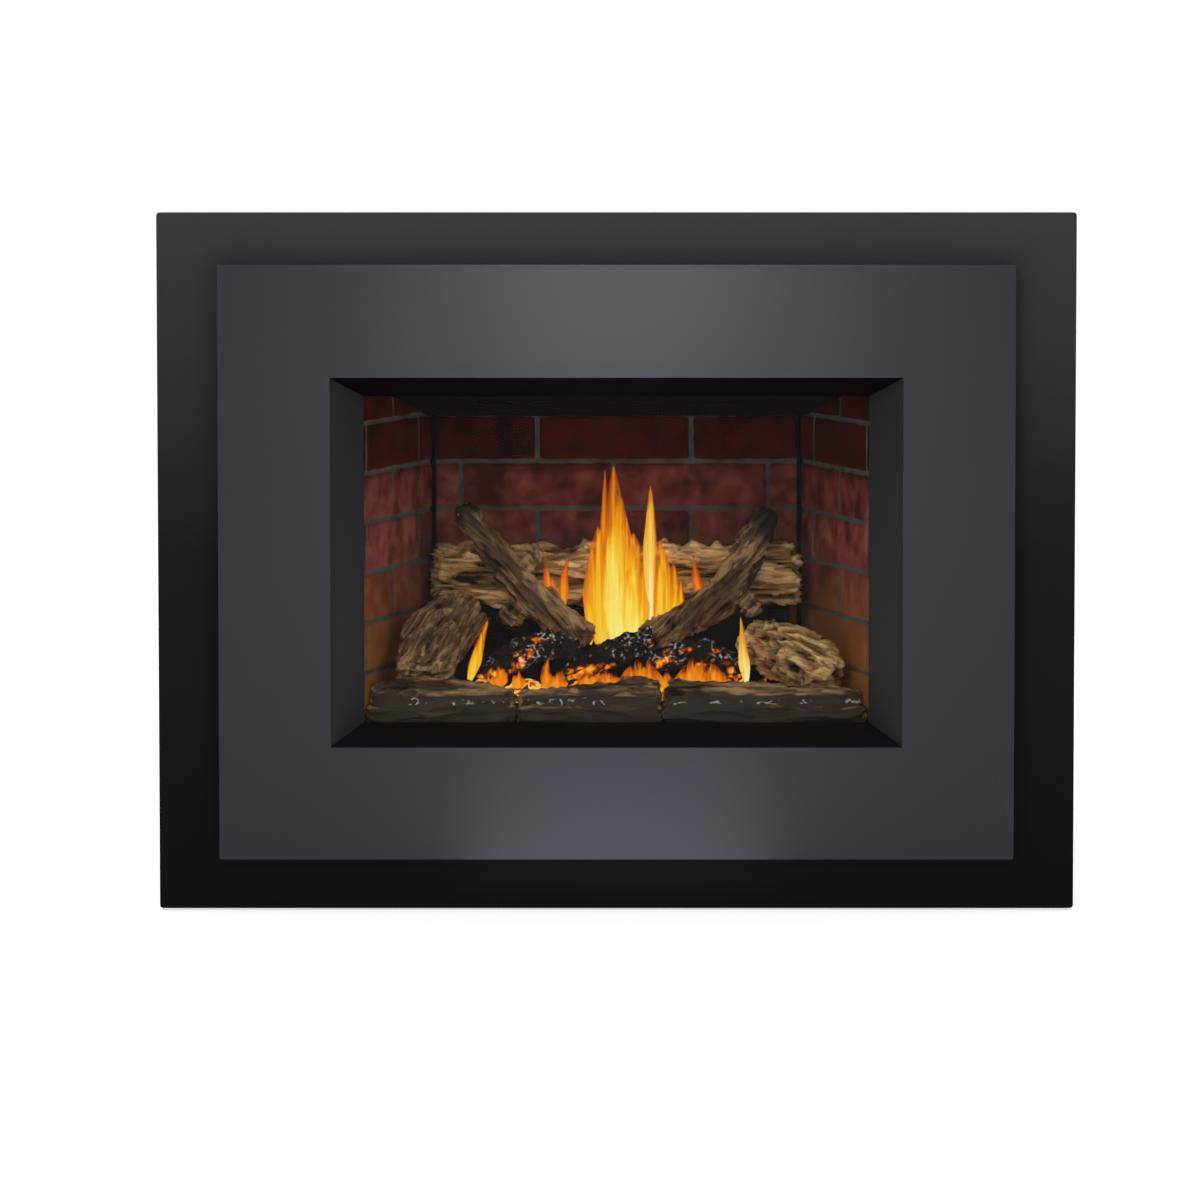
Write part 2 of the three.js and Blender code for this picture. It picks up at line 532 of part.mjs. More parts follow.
// Hinge knuckles for the relief flaps: two outer ones on the firebox, one long one on each flap.
const pinZ = FIREBOX_CEILING_Z + FIREBOX_SHEET + SEAT + FLAP_SHEET + HINGE_PIN_RADIUS + HINGE_WALL;
const knuckleRadius = HINGE_PIN_RADIUS + HINGE_WALL;
const knuckleLength = FLAP_WIDTH / 5;
const heel = 1; // how far a turning foot may reach behind the pin and still clear the firebox
function knuckle(x0, x1, base, bore, behind = knuckleRadius) {
  const barrel = rodX(knuckleRadius, x0, x1, 12).translate([0, FLAP_Y, pinZ]);
  const foot = box(x0, x1, FLAP_Y - knuckleRadius, FLAP_Y + behind, base, pinZ);
  return cut(join(barrel, foot), rodX(bore, x0 - 1, x1 + 1, 10).translate([0, FLAP_Y, pinZ]));
}
function flapHinge(side) {
  const x = side * FLAP_X;
  const [end, inner] = [FLAP_WIDTH / 2, FLAP_WIDTH / 2 - knuckleLength];
  const base = FIREBOX_CEILING_Z + FIREBOX_SHEET - 0.5;
  const pin = rodX(HINGE_PIN_RADIUS, x - end, x + end, 10).translate([0, FLAP_Y, pinZ]);
  return join(pin, knuckle(x - end, x - inner, base, 0.5), knuckle(x + inner, x + end, base, 0.5));
}

add('firebox_shell', join(cut(shell, mixerHole), ...latchStuds), sootBlack);
const fireboxTop = join(cut(topPlate, flapHole(-1), flapHole(1), exhaustHole), flapHinge(-1), flapHinge(1));
add('firebox_top', fireboxTop, sootBlack);

for (const [side, name] of [[-1, 'left'], [1, 'right']]) {
  const x = side * FLAP_X;
  const inner = FLAP_WIDTH / 2 - knuckleLength - SEAT;
  const plateZ = FIREBOX_CEILING_Z + FIREBOX_SHEET + SEAT;
  const plate = box(x - inner, x + inner, FLAP_Y - FLAP_LENGTH, FLAP_Y + heel, plateZ, plateZ + FLAP_SHEET);
  const wings = box(
    x - FLAP_WIDTH / 2, x + FLAP_WIDTH / 2, FLAP_Y - FLAP_LENGTH, FLAP_Y - knuckleRadius - 1,
    plateZ, plateZ + FLAP_SHEET,
  );
  const sleeve = knuckle(x - inner, x + inner, plateZ, HINGE_PIN_RADIUS + PIN_CLEARANCE, heel);
  add(`relief_flap_${name}`, join(plate, wings, sleeve), galvanised);
}

// ---------------------------------------------------------------- brick lining
// A cast panel: bricks stand proud of a slab, with a mortar groove round each. It is drawn flat,
// facing -y, with its left edge at x = 0, and holds only whole courses counted from COURSE_LINE_Z.
function brickPanel(width, height, firstZ, joints) {
  const slab = [box(0, width, MORTAR_DEPTH, BRICK_PANEL, 0, height)];
  const lowest = Math.floor((firstZ - COURSE_LINE_Z) / COURSE);
  for (let course = lowest; COURSE_LINE_Z + course * COURSE < firstZ + height; course += 1) {
    const bottom = COURSE_LINE_Z + course * COURSE + MORTAR_WIDTH / 2 - firstZ;
    const z0 = Math.max(0, bottom);
    const z1 = Math.min(height, bottom + COURSE - MORTAR_WIDTH);
    const edges = joints(course & 1).filter((x) => x > MORTAR_WIDTH && x < width - MORTAR_WIDTH);
    const starts = [0, ...edges.map((x) => x + MORTAR_WIDTH / 2)];
    const ends = [...edges.map((x) => x - MORTAR_WIDTH / 2), width];
    starts.forEach((x0, i) => {
      if (z1 - z0 > 2) slab.push(box(x0, ends[i], 0, MORTAR_DEPTH + 1, z0, z1));
    });
  }
  return join(...slab);
}

const repeats = (from, pitch, to) => (
  Array.from({ length: Math.ceil((to - from) / pitch) }, (_, i) => from + i * pitch)
);
const panelBottom = FIREBOX_FLOOR_Z + SEAT;
const panelHeight = BAFFLE_BACK_Z - SEAT - panelBottom;

const backHalf = brickHalf(BACK_BRICK_Y) - CORNER_GAP;
const backJoints = (odd) => repeats(BACK_JOINTS[odd] - CORNER_GAP - BACK_BRICK, BACK_BRICK, 2 * backHalf);
const backPanel = brickPanel(2 * backHalf, panelHeight, panelBottom, backJoints);
add('brick_panel_back', backPanel.translate([-backHalf, BACK_BRICK_Y, panelBottom]), brickRed);

// The side panels rise past the baffle's front, so their top edge follows its slope.
const sideLength = (BACK_BRICK_Y - CORNER_GAP - BRICK_Y) / Math.cos(SPLAY);
const baffleSlope = (BAFFLE_FRONT_Z - BAFFLE_BACK_Z) / (BACK_BRICK_Y - BRICK_Y);
const baffleUnderside = (y) => BAFFLE_FRONT_Z - (y - BRICK_Y) * baffleSlope;
const sideJoints = (odd) => (
  repeats(SIDE_JOINTS[odd], SIDE_BRICK, sideLength).map((x) => sideLength - x).reverse()
);
const sideBricks = brickPanel(sideLength, baffleUnderside(BRICK_Y) - panelBottom, panelBottom, sideJoints);
const overBaffle = sidePrism(outline([
  [BRICK_Y - 30, baffleUnderside(BRICK_Y - 30) - SEAT],
  [FIREBOX_BACK_Y, baffleUnderside(FIREBOX_BACK_Y) - SEAT],
  [FIREBOX_BACK_Y, CASING_TOP_Z], [BRICK_Y - 30, CASING_TOP_Z],
]), -CASING_WIDTH / 2, CASING_WIDTH / 2);
const rightPanel = cut(
  sideBricks.translate([-sideLength, 0, 0]).rotate([0, 0, THREE.MathUtils.radToDeg(SPLAY) - 90])
    .translate([BRICK_FRONT_HALF, BRICK_Y, panelBottom]),
  overBaffle,
);
add('brick_panel_right', rightPanel, brickRed);
add('brick_panel_left', rightPanel.mirror([1, 0, 0]), brickRed);

// ---------------------------------------------------------------- baffle
// A sloping ceiling plate with an upturned front lip, side lips over the panels and a slot for the exhaust.
const baffleBackY = BACK_BRICK_Y + BAFFLE_LEDGE;
const baffleProfile = outline([
  [BRICK_Y, BAFFLE_FRONT_Z], [BACK_BRICK_Y, BAFFLE_BACK_Z], [baffleBackY, BAFFLE_BACK_Z],
  [baffleBackY, BAFFLE_BACK_Z + BAFFLE_SHEET], [BACK_BRICK_Y, BAFFLE_BACK_Z + BAFFLE_SHEET],
  [BRICK_Y + BAFFLE_SHEET, BAFFLE_FRONT_Z + BAFFLE_SHEET], [BRICK_Y + BAFFLE_SHEET, FIREBOX_CEILING_Z - SEAT],
  [BRICK_Y, FIREBOX_CEILING_Z - SEAT],
]);
const slotY = (BRICK_Y + BACK_BRICK_Y) * 0.57;
const baffle = cut(
  sidePrism(baffleProfile, -CASING_WIDTH / 2, CASING_WIDTH / 2)
    .intersect(planPrism(boxPlan(BRICK_Y - 1, FIREBOX_BACK_Y, lining - SEAT), FIREBOX_FLOOR_Z, CASING_TOP_Z)),
  box(
    -BAFFLE_SLOT_WIDTH / 2, BAFFLE_SLOT_WIDTH / 2, slotY, slotY + BAFFLE_SLOT,
    BAFFLE_BACK_Z, FIREBOX_CEILING_Z,
  ),
);
add('baffle', baffle, sootBlack);

// ---------------------------------------------------------------- casing
const casingInner = CASING_WIDTH / 2 - CASING_SHEET;
const casingPlate = (z0, z1) => box(-CASING_WIDTH / 2, CASING_WIDTH / 2, CASING_Y, CASING_BACK_Y, z0, z1);
const wrapBottom = CASING_BASE_Z + CASING_SHEET + SEAT;
const wrapTop = CASING_TOP_Z - CASING_SHEET - SEAT;
const wrapPlan = outline([
  [-CASING_WIDTH / 2, CASING_Y], [-CASING_WIDTH / 2 + CASING_FLANGE, CASING_Y],
  [-CASING_WIDTH / 2 + CASING_FLANGE, CASING_Y + CASING_SHEET], [-casingInner, CASING_Y + CASING_SHEET],
  [-casingInner, CASING_BACK_Y - CASING_SHEET], [casingInner, CASING_BACK_Y - CASING_SHEET],
  [casingInner, CASING_Y + CASING_SHEET], [CASING_WIDTH / 2 - CASING_FLANGE, CASING_Y + CASING_SHEET],
  [CASING_WIDTH / 2 - CASING_FLANGE, CASING_Y], [CASING_WIDTH / 2, CASING_Y],
  [CASING_WIDTH / 2, CASING_BACK_Y], [-CASING_WIDTH / 2, CASING_BACK_Y],
]);
const pipeHole = rodX(PIPE_RADIUS + 4, casingInner - 5, CASING_WIDTH / 2 + 5).translate([0, pipeY, pipeZ]);
add('casing_wrap', cut(planPrism(wrapPlan, wrapBottom, wrapTop), pipeHole), galvanised);

const footX = CASING_WIDTH / 2 - FOOT_INSET_SIDE;
const footYs = [CASING_Y + FOOT_INSET_END, CASING_BACK_Y - FOOT_INSET_END];
const footPlaces = [-1, 1].flatMap((side) => footYs.map((y) => [side * footX, y]));
const studHoles = footPlaces.map(([x, y]) => rod(STUD_RADIUS + SEAT, 0, 40).translate([x, y, 0]));
const casingBase = cut(
  casingPlate(CASING_BASE_Z, CASING_BASE_Z + CASING_SHEET),
  ...studHoles,
);
add('casing_base', casingBase, galvanised);

// The casing top has one cut-out, which the two collars' square flanges close. The exhaust collar runs down
// to the firebox; the intake collar ends in the casing.
const collarReach = COLLAR_RADIUS + COLLAR_FLANGE;
const cutOutMargin = 8; // flange over the cut-out's edge
const casingTop = cut(
  casingPlate(CASING_TOP_Z - CASING_SHEET, CASING_TOP_Z),
  box(
    -COLLAR_SPACING / 2 - collarReach + cutOutMargin, COLLAR_SPACING / 2 + collarReach - cutOutMargin,
    COLLAR_Y - collarReach + cutOutMargin, COLLAR_Y + collarReach - cutOutMargin,
    CASING_TOP_Z - 5, CASING_TOP_Z + 5,
  ),
);
add('casing_top', casingTop, galvanised);

const collarTop = CASING_TOP_Z + SEAT + COLLAR_HEIGHT;
function collar(side, bottom) {
  const x = side * COLLAR_SPACING / 2;
  const tube = (radius, z0, z1) => rod(radius, z0, z1, 24).translate([x, COLLAR_Y, 0]);
  const [inner, outer] = [side * SEAT / 2, side * (COLLAR_SPACING / 2 + collarReach)].sort((a, b) => a - b);
  const flange = box(
    inner, outer, COLLAR_Y - collarReach, COLLAR_Y + collarReach,
    CASING_TOP_Z + SEAT, CASING_TOP_Z + SEAT + 2,
  );
  return cut(
    join(flange, tube(COLLAR_RADIUS, bottom, collarTop)),
    tube(COLLAR_RADIUS - COLLAR_WALL, bottom - 5, collarTop + 5),
  );
}
add('exhaust_collar', collar(-1, FIREBOX_CEILING_Z + FIREBOX_SHEET + SEAT), galvanised);
add('intake_collar', collar(1, CASING_TOP_Z - 5), galvanised);

footPlaces.forEach(([x, y], i) => {
  const nutTop = CASING_BASE_Z - SEAT;
  const body = join(
    turned([
      [0, 0], [FOOT_RADIUS, 0], [FOOT_RADIUS, FOOT_PAD - 2], [FOOT_RADIUS - 4, FOOT_PAD],
      [STUD_RADIUS, FOOT_PAD], [STUD_RADIUS, CASING_BASE_Z + 16], [0, CASING_BASE_Z + 16],
    ], 'z', 16),
    rod(NUT_RADIUS, nutTop - 6, nutTop, 6),
  );
  add(`levelling_foot_${i + 1}`, body.translate([x, y, 0]), stainless);
});

// Two channels and a tie carry the firebox over the blower space.
const STAND_WIDTH = 16;
const STAND_INSET = 5; // channel's outer edge inside the firebox's back corner
const STAND_END = 6.6; // channel's end inside the firebox's back
const STAND_FRONT = 51.1; // channel's other end behind the mouth flange
const STAND_X = BRICK_BACK_HALF + lining + FIREBOX_SHEET - STAND_WIDTH / 2 - STAND_INSET;
const STAND_Y = [MOUTH_Y + STAND_FRONT, FIREBOX_BACK_Y - STAND_END];
const standTop = FIREBOX_FLOOR_Z - FIREBOX_SHEET - SEAT;
const standLegs = [-1, 1].map((side) => {
  const across = (a, b) => [side * (STAND_X + a), side * (STAND_X + b)].sort((p, q) => p - q);
  return cut(
    box(...across(-STAND_WIDTH / 2, STAND_WIDTH / 2), ...STAND_Y, wrapBottom, standTop),
    box(
      ...across(-STAND_WIDTH, STAND_WIDTH / 2 - 2), STAND_Y[0] - 1, STAND_Y[1] + 1,
      wrapBottom + 2, standTop - 2,
    ),
  );
});
const tie = box(-STAND_X, STAND_X, STAND_Y[0], STAND_Y[0] + 24, wrapBottom, wrapBottom + 2);
add('firebox_stand', join(...standLegs, tie), galvanised);

// ---------------------------------------------------------------- burner
// A pan burner with two rows of ports, fed from below by a mixing tube with a primary-air shutter.
const burnerZ = FIREBOX_FLOOR_Z + SEAT;
const panWall = (grow) => box(
  -BURNER_WIDTH / 2 + grow, BURNER_WIDTH / 2 - grow, BURNER_FRONT + grow, BURNER_BACK - grow,
  burnerZ + grow, BED_Z - grow,
);
const portRows = [0.3, 0.7].map((share) => BURNER_FRONT + share * (BURNER_BACK - BURNER_FRONT));
const portPitch = (BURNER_WIDTH - 40) / (PORTS - 1);
const ports = portRows.flatMap((y) => Array.from({ length: PORTS }, (_, i) => (
  rod(PORT_RADIUS, BED_Z - 5, BED_Z + 5, 6).translate([20 - BURNER_WIDTH / 2 + i * portPitch, y, 0])
)));
const burner = cut(
  panWall(0), panWall(BURNER_SHEET),
  rod(MIXER_RADIUS + SEAT, burnerZ - 5, burnerZ + 5, 24).translate([0, MIXER_Y, 0]), ...ports,
);
add('burner_pan', burner, sootBlack);

const mixerFlange = burnerZ + BURNER_SHEET + SEAT;
const mixerSlots = repeats(0, 45, 180).map((angle) => (
  box(-MIXER_RADIUS - 2, MIXER_RADIUS + 2, -3, 3, MIXER_BOTTOM_Z + 8, MIXER_BOTTOM_Z + SHUTTER_HEIGHT - 6)
    .rotate([0, 0, angle])
));
const mixer = cut(
  join(
    rod(MIXER_RADIUS, MIXER_BOTTOM_Z, mixerFlange + 2, 24),
    rod(MIXER_RADIUS + 6, mixerFlange, mixerFlange + 2, 24),
    rod(MIXER_RADIUS + SHUTTER_WALL + SEAT, MIXER_BOTTOM_Z - 2, MIXER_BOTTOM_Z, 24),
  ),
  rod(MIXER_RADIUS - MIXER_WALL, MIXER_BOTTOM_Z - 5, mixerFlange + 5, 24), ...mixerSlots,
);
add('mixing_tube', mixer.translate([0, MIXER_Y, 0]), galvanised);

const shutterBottom = MIXER_BOTTOM_Z + SEAT;
const shutterTab = box(MIXER_RADIUS + SEAT + 0.5, MIXER_RADIUS + 16, -4, 4, shutterBottom, shutterBottom + 2);
const shutter = cut(
  join(
    rod(MIXER_RADIUS + SEAT + SHUTTER_WALL, shutterBottom, MIXER_BOTTOM_Z + SHUTTER_HEIGHT, 24), shutterTab,
  ),
  rod(MIXER_RADIUS + SEAT, shutterBottom - 5, MIXER_BOTTOM_Z + SHUTTER_HEIGHT + 5, 24),
  ...mixerSlots.map((slot) => slot.rotate([0, 0, 22.5]).translate([0, 0, SEAT])),
);
add('air_shutter', shutter.rotate([0, 0, -60]).translate([0, MIXER_Y, 0]), galvanised);

// Pilot: a bracket on the floor with its hood, electrode and flame sensor.
const PILOT = { x: BRICK_BACK_HALF - 1, y: BURNER_BACK - 26 };
const pilotFloor = FIREBOX_FLOOR_Z + SEAT;
const pilotSensor = (x, radius, top) => join(
  rod(2.4, 14, 34, 10), rod(radius, 30, top, 6),
).translate([x, 2, 0]);
const pilotHood = cut(rod(5, 22, 38, 12), rod(3.4, 26, 40, 12), box(-8, 0, -2, 2, 30, 40));
const pilot = join(
  box(-12, 12, -10, 10, 0, 2), box(-12, 12, 8, 10, 0, 24), box(-12, 12, -6, 10, 22, 24),
  pilotHood, pilotSensor(-9, 0.9, 46), pilotSensor(9, 1.2, 48),
);
add('pilot_assembly', pilot.translate([PILOT.x, PILOT.y, pilotFloor]), stainless);

// ---------------------------------------------------------------- gas train
const valveZ = [knobZ - VALVE_HEIGHT / 2, knobZ + VALVE_HEIGHT / 2];
const valveY = BRACKET_Y + BRACKET_SHEET + SEAT;
const spindle = (x, z, radius, front) => turned([
  [0, -valveY - 5], [radius, -valveY - 5], [radius, -front], [0, -front],
], 'front', 16).translate([x, 0, z]);
const pilotKnobX = VALVE_X - 24;
const flameKnobX = VALVE_X + 28;
const knobBack = BRACKET_Y - SEAT;
const valve = join(
  box(VALVE_X - VALVE_WIDTH / 2, VALVE_X + VALVE_WIDTH / 2, valveY, valveY + VALVE_DEPTH, ...valveZ),
  rodX(15, VALVE_X - VALVE_WIDTH / 2 - 22, VALVE_X - VALVE_WIDTH / 2 + 5, 20)
    .translate([0, valveY + VALVE_DEPTH / 2, knobZ]),
  rod(11, valveZ[1] - 3, valveZ[1] + 12, 6).translate([VALVE_X + 10, valveY + VALVE_DEPTH / 2 + 7, 0]),
  spindle(pilotKnobX, knobZ, SPINDLE_RADIUS + 1, knobBack - KNOB_LENGTH + 4),
  spindle(flameKnobX, knobZ, SPINDLE_RADIUS, knobBack - FLAME_KNOB_LENGTH + 4),
);
add('gas_valve', valve, galvanised);

// A control knob: a fluted skirt with a pointer ridge and a blind bore on the spindle.
function knob(radius, length, bore, flutes) {
  const notches = Array.from({ length: flutes }, (_, i) => {
    const angle = (i / flutes) * 2 * Math.PI;
    const notch = turned([
      [0, -1], [radius * 0.12, -1], [radius * 0.12, length + 1], [0, length + 1],
    ], 'front', 5);
    return notch.translate([radius * Math.cos(angle), 0, radius * Math.sin(angle)]);
  });
  const skirt = turned([
    [0, 0], [radius, 0], [radius, length - 2], [radius - 2, length], [0, length],
  ], 'front', 24);
  const ridge = box(-1.2, 1.2, -length - 1.5, -length + 1, 0, radius - 2.5);
  const socket = turned([[0, -1], [bore, -1], [bore, length - 3.5], [0, length - 3.5]], 'front', 12);
  return cut(join(skirt, ridge), ...notches, socket);
}
const smallKnob = knob(FLAME_KNOB_RADIUS, FLAME_KNOB_LENGTH, SPINDLE_RADIUS + SEAT, 8);
const pilotKnob = knob(KNOB_RADIUS, KNOB_LENGTH, SPINDLE_RADIUS + 1 + SEAT, 10);
add('pilot_knob', pilotKnob.translate([pilotKnobX, knobBack, knobZ]), moulded);
add('flame_knob', smallKnob.translate([flameKnobX, knobBack, knobZ]), moulded);

// Supply: a pipe through the casing side, a cock with its handle, and a tube to the valve.
const cock = join(
  rodX(PIPE_RADIUS + 4, COCK_X - 22, COCK_X + 22, 6), rodX(PIPE_RADIUS + 6, COCK_X - 12, COCK_X + 12, 16),
  rod(5, 0, PIPE_RADIUS + 12, 16).translate([COCK_X, 0, 0]),
).translate([0, pipeY, pipeZ]);
const valvePort = VALVE_X + VALVE_WIDTH / 2 + SEAT;
const portY = pipeY + 4;
const supplyRoute = [
  [COCK_X, pipeY, pipeZ], [valvePort + 22, pipeY, pipeZ],
  [valvePort + 22, portY, knobZ], [valvePort, portY, knobZ],
];
const inletEnd = CASING_WIDTH / 2 + PIPE_STUB;
const supply = join(
  cock,
  rodX(PIPE_RADIUS, COCK_X, inletEnd, 16).translate([0, pipeY, pipeZ]),
  bentTube(supplyRoute, 6, 12),
  rodX(9, valvePort, valvePort + 8, 6).translate([0, portY, knobZ]),
);
const inletBore = rodX(PIPE_RADIUS - 2.5, COCK_X + 30, inletEnd + 5, 16).translate([0, pipeY, pipeZ]);
add('gas_supply_line', cut(supply, inletBore), brassFinish);

const stemTop = pipeZ + PIPE_RADIUS + 12;
const handle = join(
  rod(8, stemTop + SEAT, stemTop + 8, 16),
  box(0, 46, -5, 5, stemTop + SEAT, stemTop + 4),
  rod(5, stemTop + SEAT, stemTop + 4, 16).translate([46, 0, 0]),
);
add('shutoff_handle', handle.translate([COCK_X, pipeY, 0]), brassFinish);

// The manifold tube ends in the orifice under the mixing tube.
const orificeTop = MIXER_BOTTOM_Z + 14;
const manifoldZ = knobZ - 5;
const manifoldX = VALVE_X - 30;
const manifoldRoute = [
  [manifoldX, valveY + VALVE_DEPTH + SEAT, manifoldZ],
  [manifoldX, MIXER_Y, manifoldZ], [0, MIXER_Y, manifoldZ],
];
const orifice = cut(
  join(rod(10, manifoldZ - 9, manifoldZ + 12, 6), rod(5, manifoldZ, orificeTop, 16)),
  rod(1.5, manifoldZ + 14, orificeTop + 5, 8),
).translate([0, MIXER_Y, 0]);
add('manifold_tube', join(bentTube(manifoldRoute, 5, 14), orifice), brassFinish);

// ---------------------------------------------------------------- control bracket
const igniterStem = 4;
const switchSize = [21, 13];
const speedSpindle = spindle(SPEED_KNOB_X, knobZ, SPINDLE_RADIUS, knobBack - FLAME_KNOB_LENGTH + 4);
const bracketHoles = [
  [pilotKnobX, SPINDLE_RADIUS + 1 + SEAT], [flameKnobX, SPINDLE_RADIUS + SEAT],
  [IGNITER_X, igniterStem + SEAT],
].map(([x, radius]) => turned([
  [0, -BRACKET_Y - 30], [radius, -BRACKET_Y - 30], [radius, -BRACKET_Y + 10], [0, -BRACKET_Y + 10],
], 'front', 16).translate([x, 0, knobZ]));
const bracketFront = [BRACKET_Y, BRACKET_Y + BRACKET_SHEET];
const legHalf = 10;
const legs = [-1, 1].flatMap((side) => {
  const x = side * (BRACKET_HALF - legHalf);
  return [
    box(x - legHalf, x + legHalf, ...bracketFront, wrapBottom, BRACKET_Z + 1),
    box(
      x - legHalf, x + legHalf, BRACKET_Y - 14, BRACKET_Y + BRACKET_SHEET,
      wrapBottom, wrapBottom + BRACKET_SHEET,
    ),
  ];
});
const switchHole = box(
  SWITCH_X - switchSize[0] / 2, SWITCH_X + switchSize[0] / 2, BRACKET_Y - 5, BRACKET_Y + 16,
  knobZ - switchSize[1] / 2, knobZ + switchSize[1] / 2,
);
const bracketTop = BRACKET_Z + BRACKET_HEIGHT;
const bracket = cut(
  join(
    box(-BRACKET_HALF, BRACKET_HALF, ...bracketFront, BRACKET_Z, bracketTop),
    box(-BRACKET_HALF, BRACKET_HALF, BRACKET_Y, BRACKET_Y + 10, bracketTop - BRACKET_SHEET, bracketTop),
    box(SPEED_KNOB_X - 20, SWITCH_X + 18, BRACKET_Y + 1, BRACKET_Y + 26, knobZ - 18, knobZ + 18),
    box(IGNITER_X - 11, IGNITER_X + 11, BRACKET_Y + 1, BRACKET_Y + 34, knobZ - 11, knobZ + 11),
    ...legs,
  ),
  switchHole, ...bracketHoles,
);
add('control_bracket', join(bracket, speedSpindle), galvanised);
add('speed_knob', smallKnob.translate([SPEED_KNOB_X, knobBack, knobZ]), moulded);

const BUTTON_TRAVEL = 4;
const button = turned([
  [0, -BRACKET_Y - 22], [igniterStem, -BRACKET_Y - 22], [igniterStem, -BRACKET_Y + BUTTON_TRAVEL + SEAT],
  [10, -BRACKET_Y + BUTTON_TRAVEL + SEAT], [10, -BRACKET_Y + 10], [8, -BRACKET_Y + 12], [0, -BRACKET_Y + 12],
], 'front', 20);
add('igniter_button', button.translate([IGNITER_X, 0, knobZ]), switchRed);

// The rocker turns on its middle: a wedge front, dished by two flats.
const rockerHalf = switchSize[0] / 2 - SEAT - 0.7;
const rocker = planPrism(outline([
  [-rockerHalf, BRACKET_Y + 4], [-rockerHalf, BRACKET_Y - 3.4],
  [0, BRACKET_Y - 1.2], [rockerHalf, BRACKET_Y - 1.2],
  [rockerHalf, BRACKET_Y + 4], [3, BRACKET_Y + 8], [-3, BRACKET_Y + 8],
]), knobZ - switchSize[1] / 2 + SEAT, knobZ + switchSize[1] / 2 - SEAT);
add('rocker_switch', rocker.translate([SWITCH_X, 0, 0]), switchRed);

// ---------------------------------------------------------------- blower
// A squirrel-cage wheel in a scroll housing that blows up behind the firebox, with its motor on the right.
const wheelX = [BLOWER_X - BLOWER_LENGTH / 2, BLOWER_X + BLOWER_LENGTH / 2];
const housingX = [wheelX[0] - 6, wheelX[1] + 6];
const scrollRadius = BLOWER_RADIUS + HOUSING_CLEARANCE;
const outletZ = BLOWER_Z + scrollRadius + 26;
const scrollBody = (grow, x0, x1, top) => join(
  rodX(scrollRadius + grow, x0, x1, 24).translate([0, BLOWER_Y, BLOWER_Z]),
  box(x0, x1, BLOWER_Y + 10 - grow, BLOWER_Y + scrollRadius + grow, BLOWER_Z, top),
);
const inletHoles = rodX(BLOWER_RADIUS - 10, housingX[0] - 5, housingX[1] + 5, 24)
  .translate([0, BLOWER_Y, BLOWER_Z]);
const housingFeet = [housingX[0], housingX[1] - 20].map((x) => (
  box(x, x + 20, BLOWER_Y - 26, BLOWER_Y + 26, wrapBottom, BLOWER_Z - scrollRadius + 6)
));
const housing = cut(
  join(scrollBody(HOUSING_SHEET, ...housingX, outletZ), ...housingFeet),
  scrollBody(0, housingX[0] + HOUSING_SHEET, housingX[1] - HOUSING_SHEET, outletZ + 5), inletHoles,
);
add('blower_housing', housing, galvanised);

const motorX = [housingX[1] + SEAT, housingX[1] + SEAT + MOTOR_LENGTH];
const shaftEnd = motorX[1] - 12;
const bladeSection = (x0, x1) => Array.from({ length: BLOWER_BLADES }, (_, i) => (
  box(x0, x1, -0.6, 0.6, BLOWER_RADIUS - 8, BLOWER_RADIUS)
    .rotate([28, 0, 0]).translate([0, 3.6, 4.4]).rotate([(i / BLOWER_BLADES) * 360, 0, 0])
));
const ring = (x0, x1) => cut(
  rodX(BLOWER_RADIUS + 1, x0, x1, 16), rodX(BLOWER_RADIUS - 9, x0 - 1, x1 + 1, 16),
);
const wheel = join(
  ...bladeSection(wheelX[0] + 1, wheelX[1] - 1),
  ring(wheelX[0], wheelX[0] + 2), ring(wheelX[1] - 2, wheelX[1]),
  rodX(BLOWER_RADIUS + 1, BLOWER_X - 1, BLOWER_X + 1, 16), rodX(8, BLOWER_X - 8, BLOWER_X + 8, 12),
  rodX(BLOWER_SHAFT, BLOWER_X - 10, shaftEnd, 12),
);
add('blower_wheel', wheel.translate([0, BLOWER_Y, BLOWER_Z]), stainless);

const motor = cut(
  join(
    rodX(MOTOR_RADIUS, motorX[0] + 6, motorX[1] - 4, 24),
    rodX(MOTOR_RADIUS - 5, motorX[0] + 3, motorX[1], 24),
    rodX(BLOWER_RADIUS - 10.5, motorX[0] - 3, motorX[1] - 4, 24),
    box(motorX[0] + 10, motorX[1] - 8, -20, 20, wrapBottom - BLOWER_Z, 0),
  ),
  rodX(BLOWER_SHAFT + PIN_CLEARANCE, motorX[0] - 8, shaftEnd + 1, 12),
);
add('blower_motor', motor.translate([0, BLOWER_Y, BLOWER_Z]), blackPaint);

// ---------------------------------------------------------------- door latches
// A cam on a stud presses on the door's top edge. Lifting its arm turns the flat to the door.
const latchBody = cut(
  join(
    turned([[0, 0], [LATCH_CAM, 0], [LATCH_CAM, LATCH_THICKNESS], [0, LATCH_THICKNESS]], 'front', 20),
    box(0, LATCH_ARM, -LATCH_THICKNESS, 0, -3, 3),
    box(LATCH_ARM - 2, LATCH_ARM, -LATCH_THICKNESS - 6, 0, -3, 3),
  ),
  box(LATCH_FLAT, LATCH_CAM + 1, -LATCH_THICKNESS - 1, 1, -LATCH_CAM, LATCH_CAM)
    .rotate([0, 90 + LATCH_SWING, 0]),
  turned([
    [0, -1], [2.5 + PIN_CLEARANCE, -1], [2.5 + PIN_CLEARANCE, LATCH_THICKNESS + 1], [0, LATCH_THICKNESS + 1],
  ], 'front', 12),
);
const rightLatch = latchBody.translate([LATCH_X, latchY + LATCH_THICKNESS, latchZ]);
add('door_latch_right', rightLatch, stainless);
add('door_latch_left', rightLatch.mirror([1, 0, 0]), stainless);

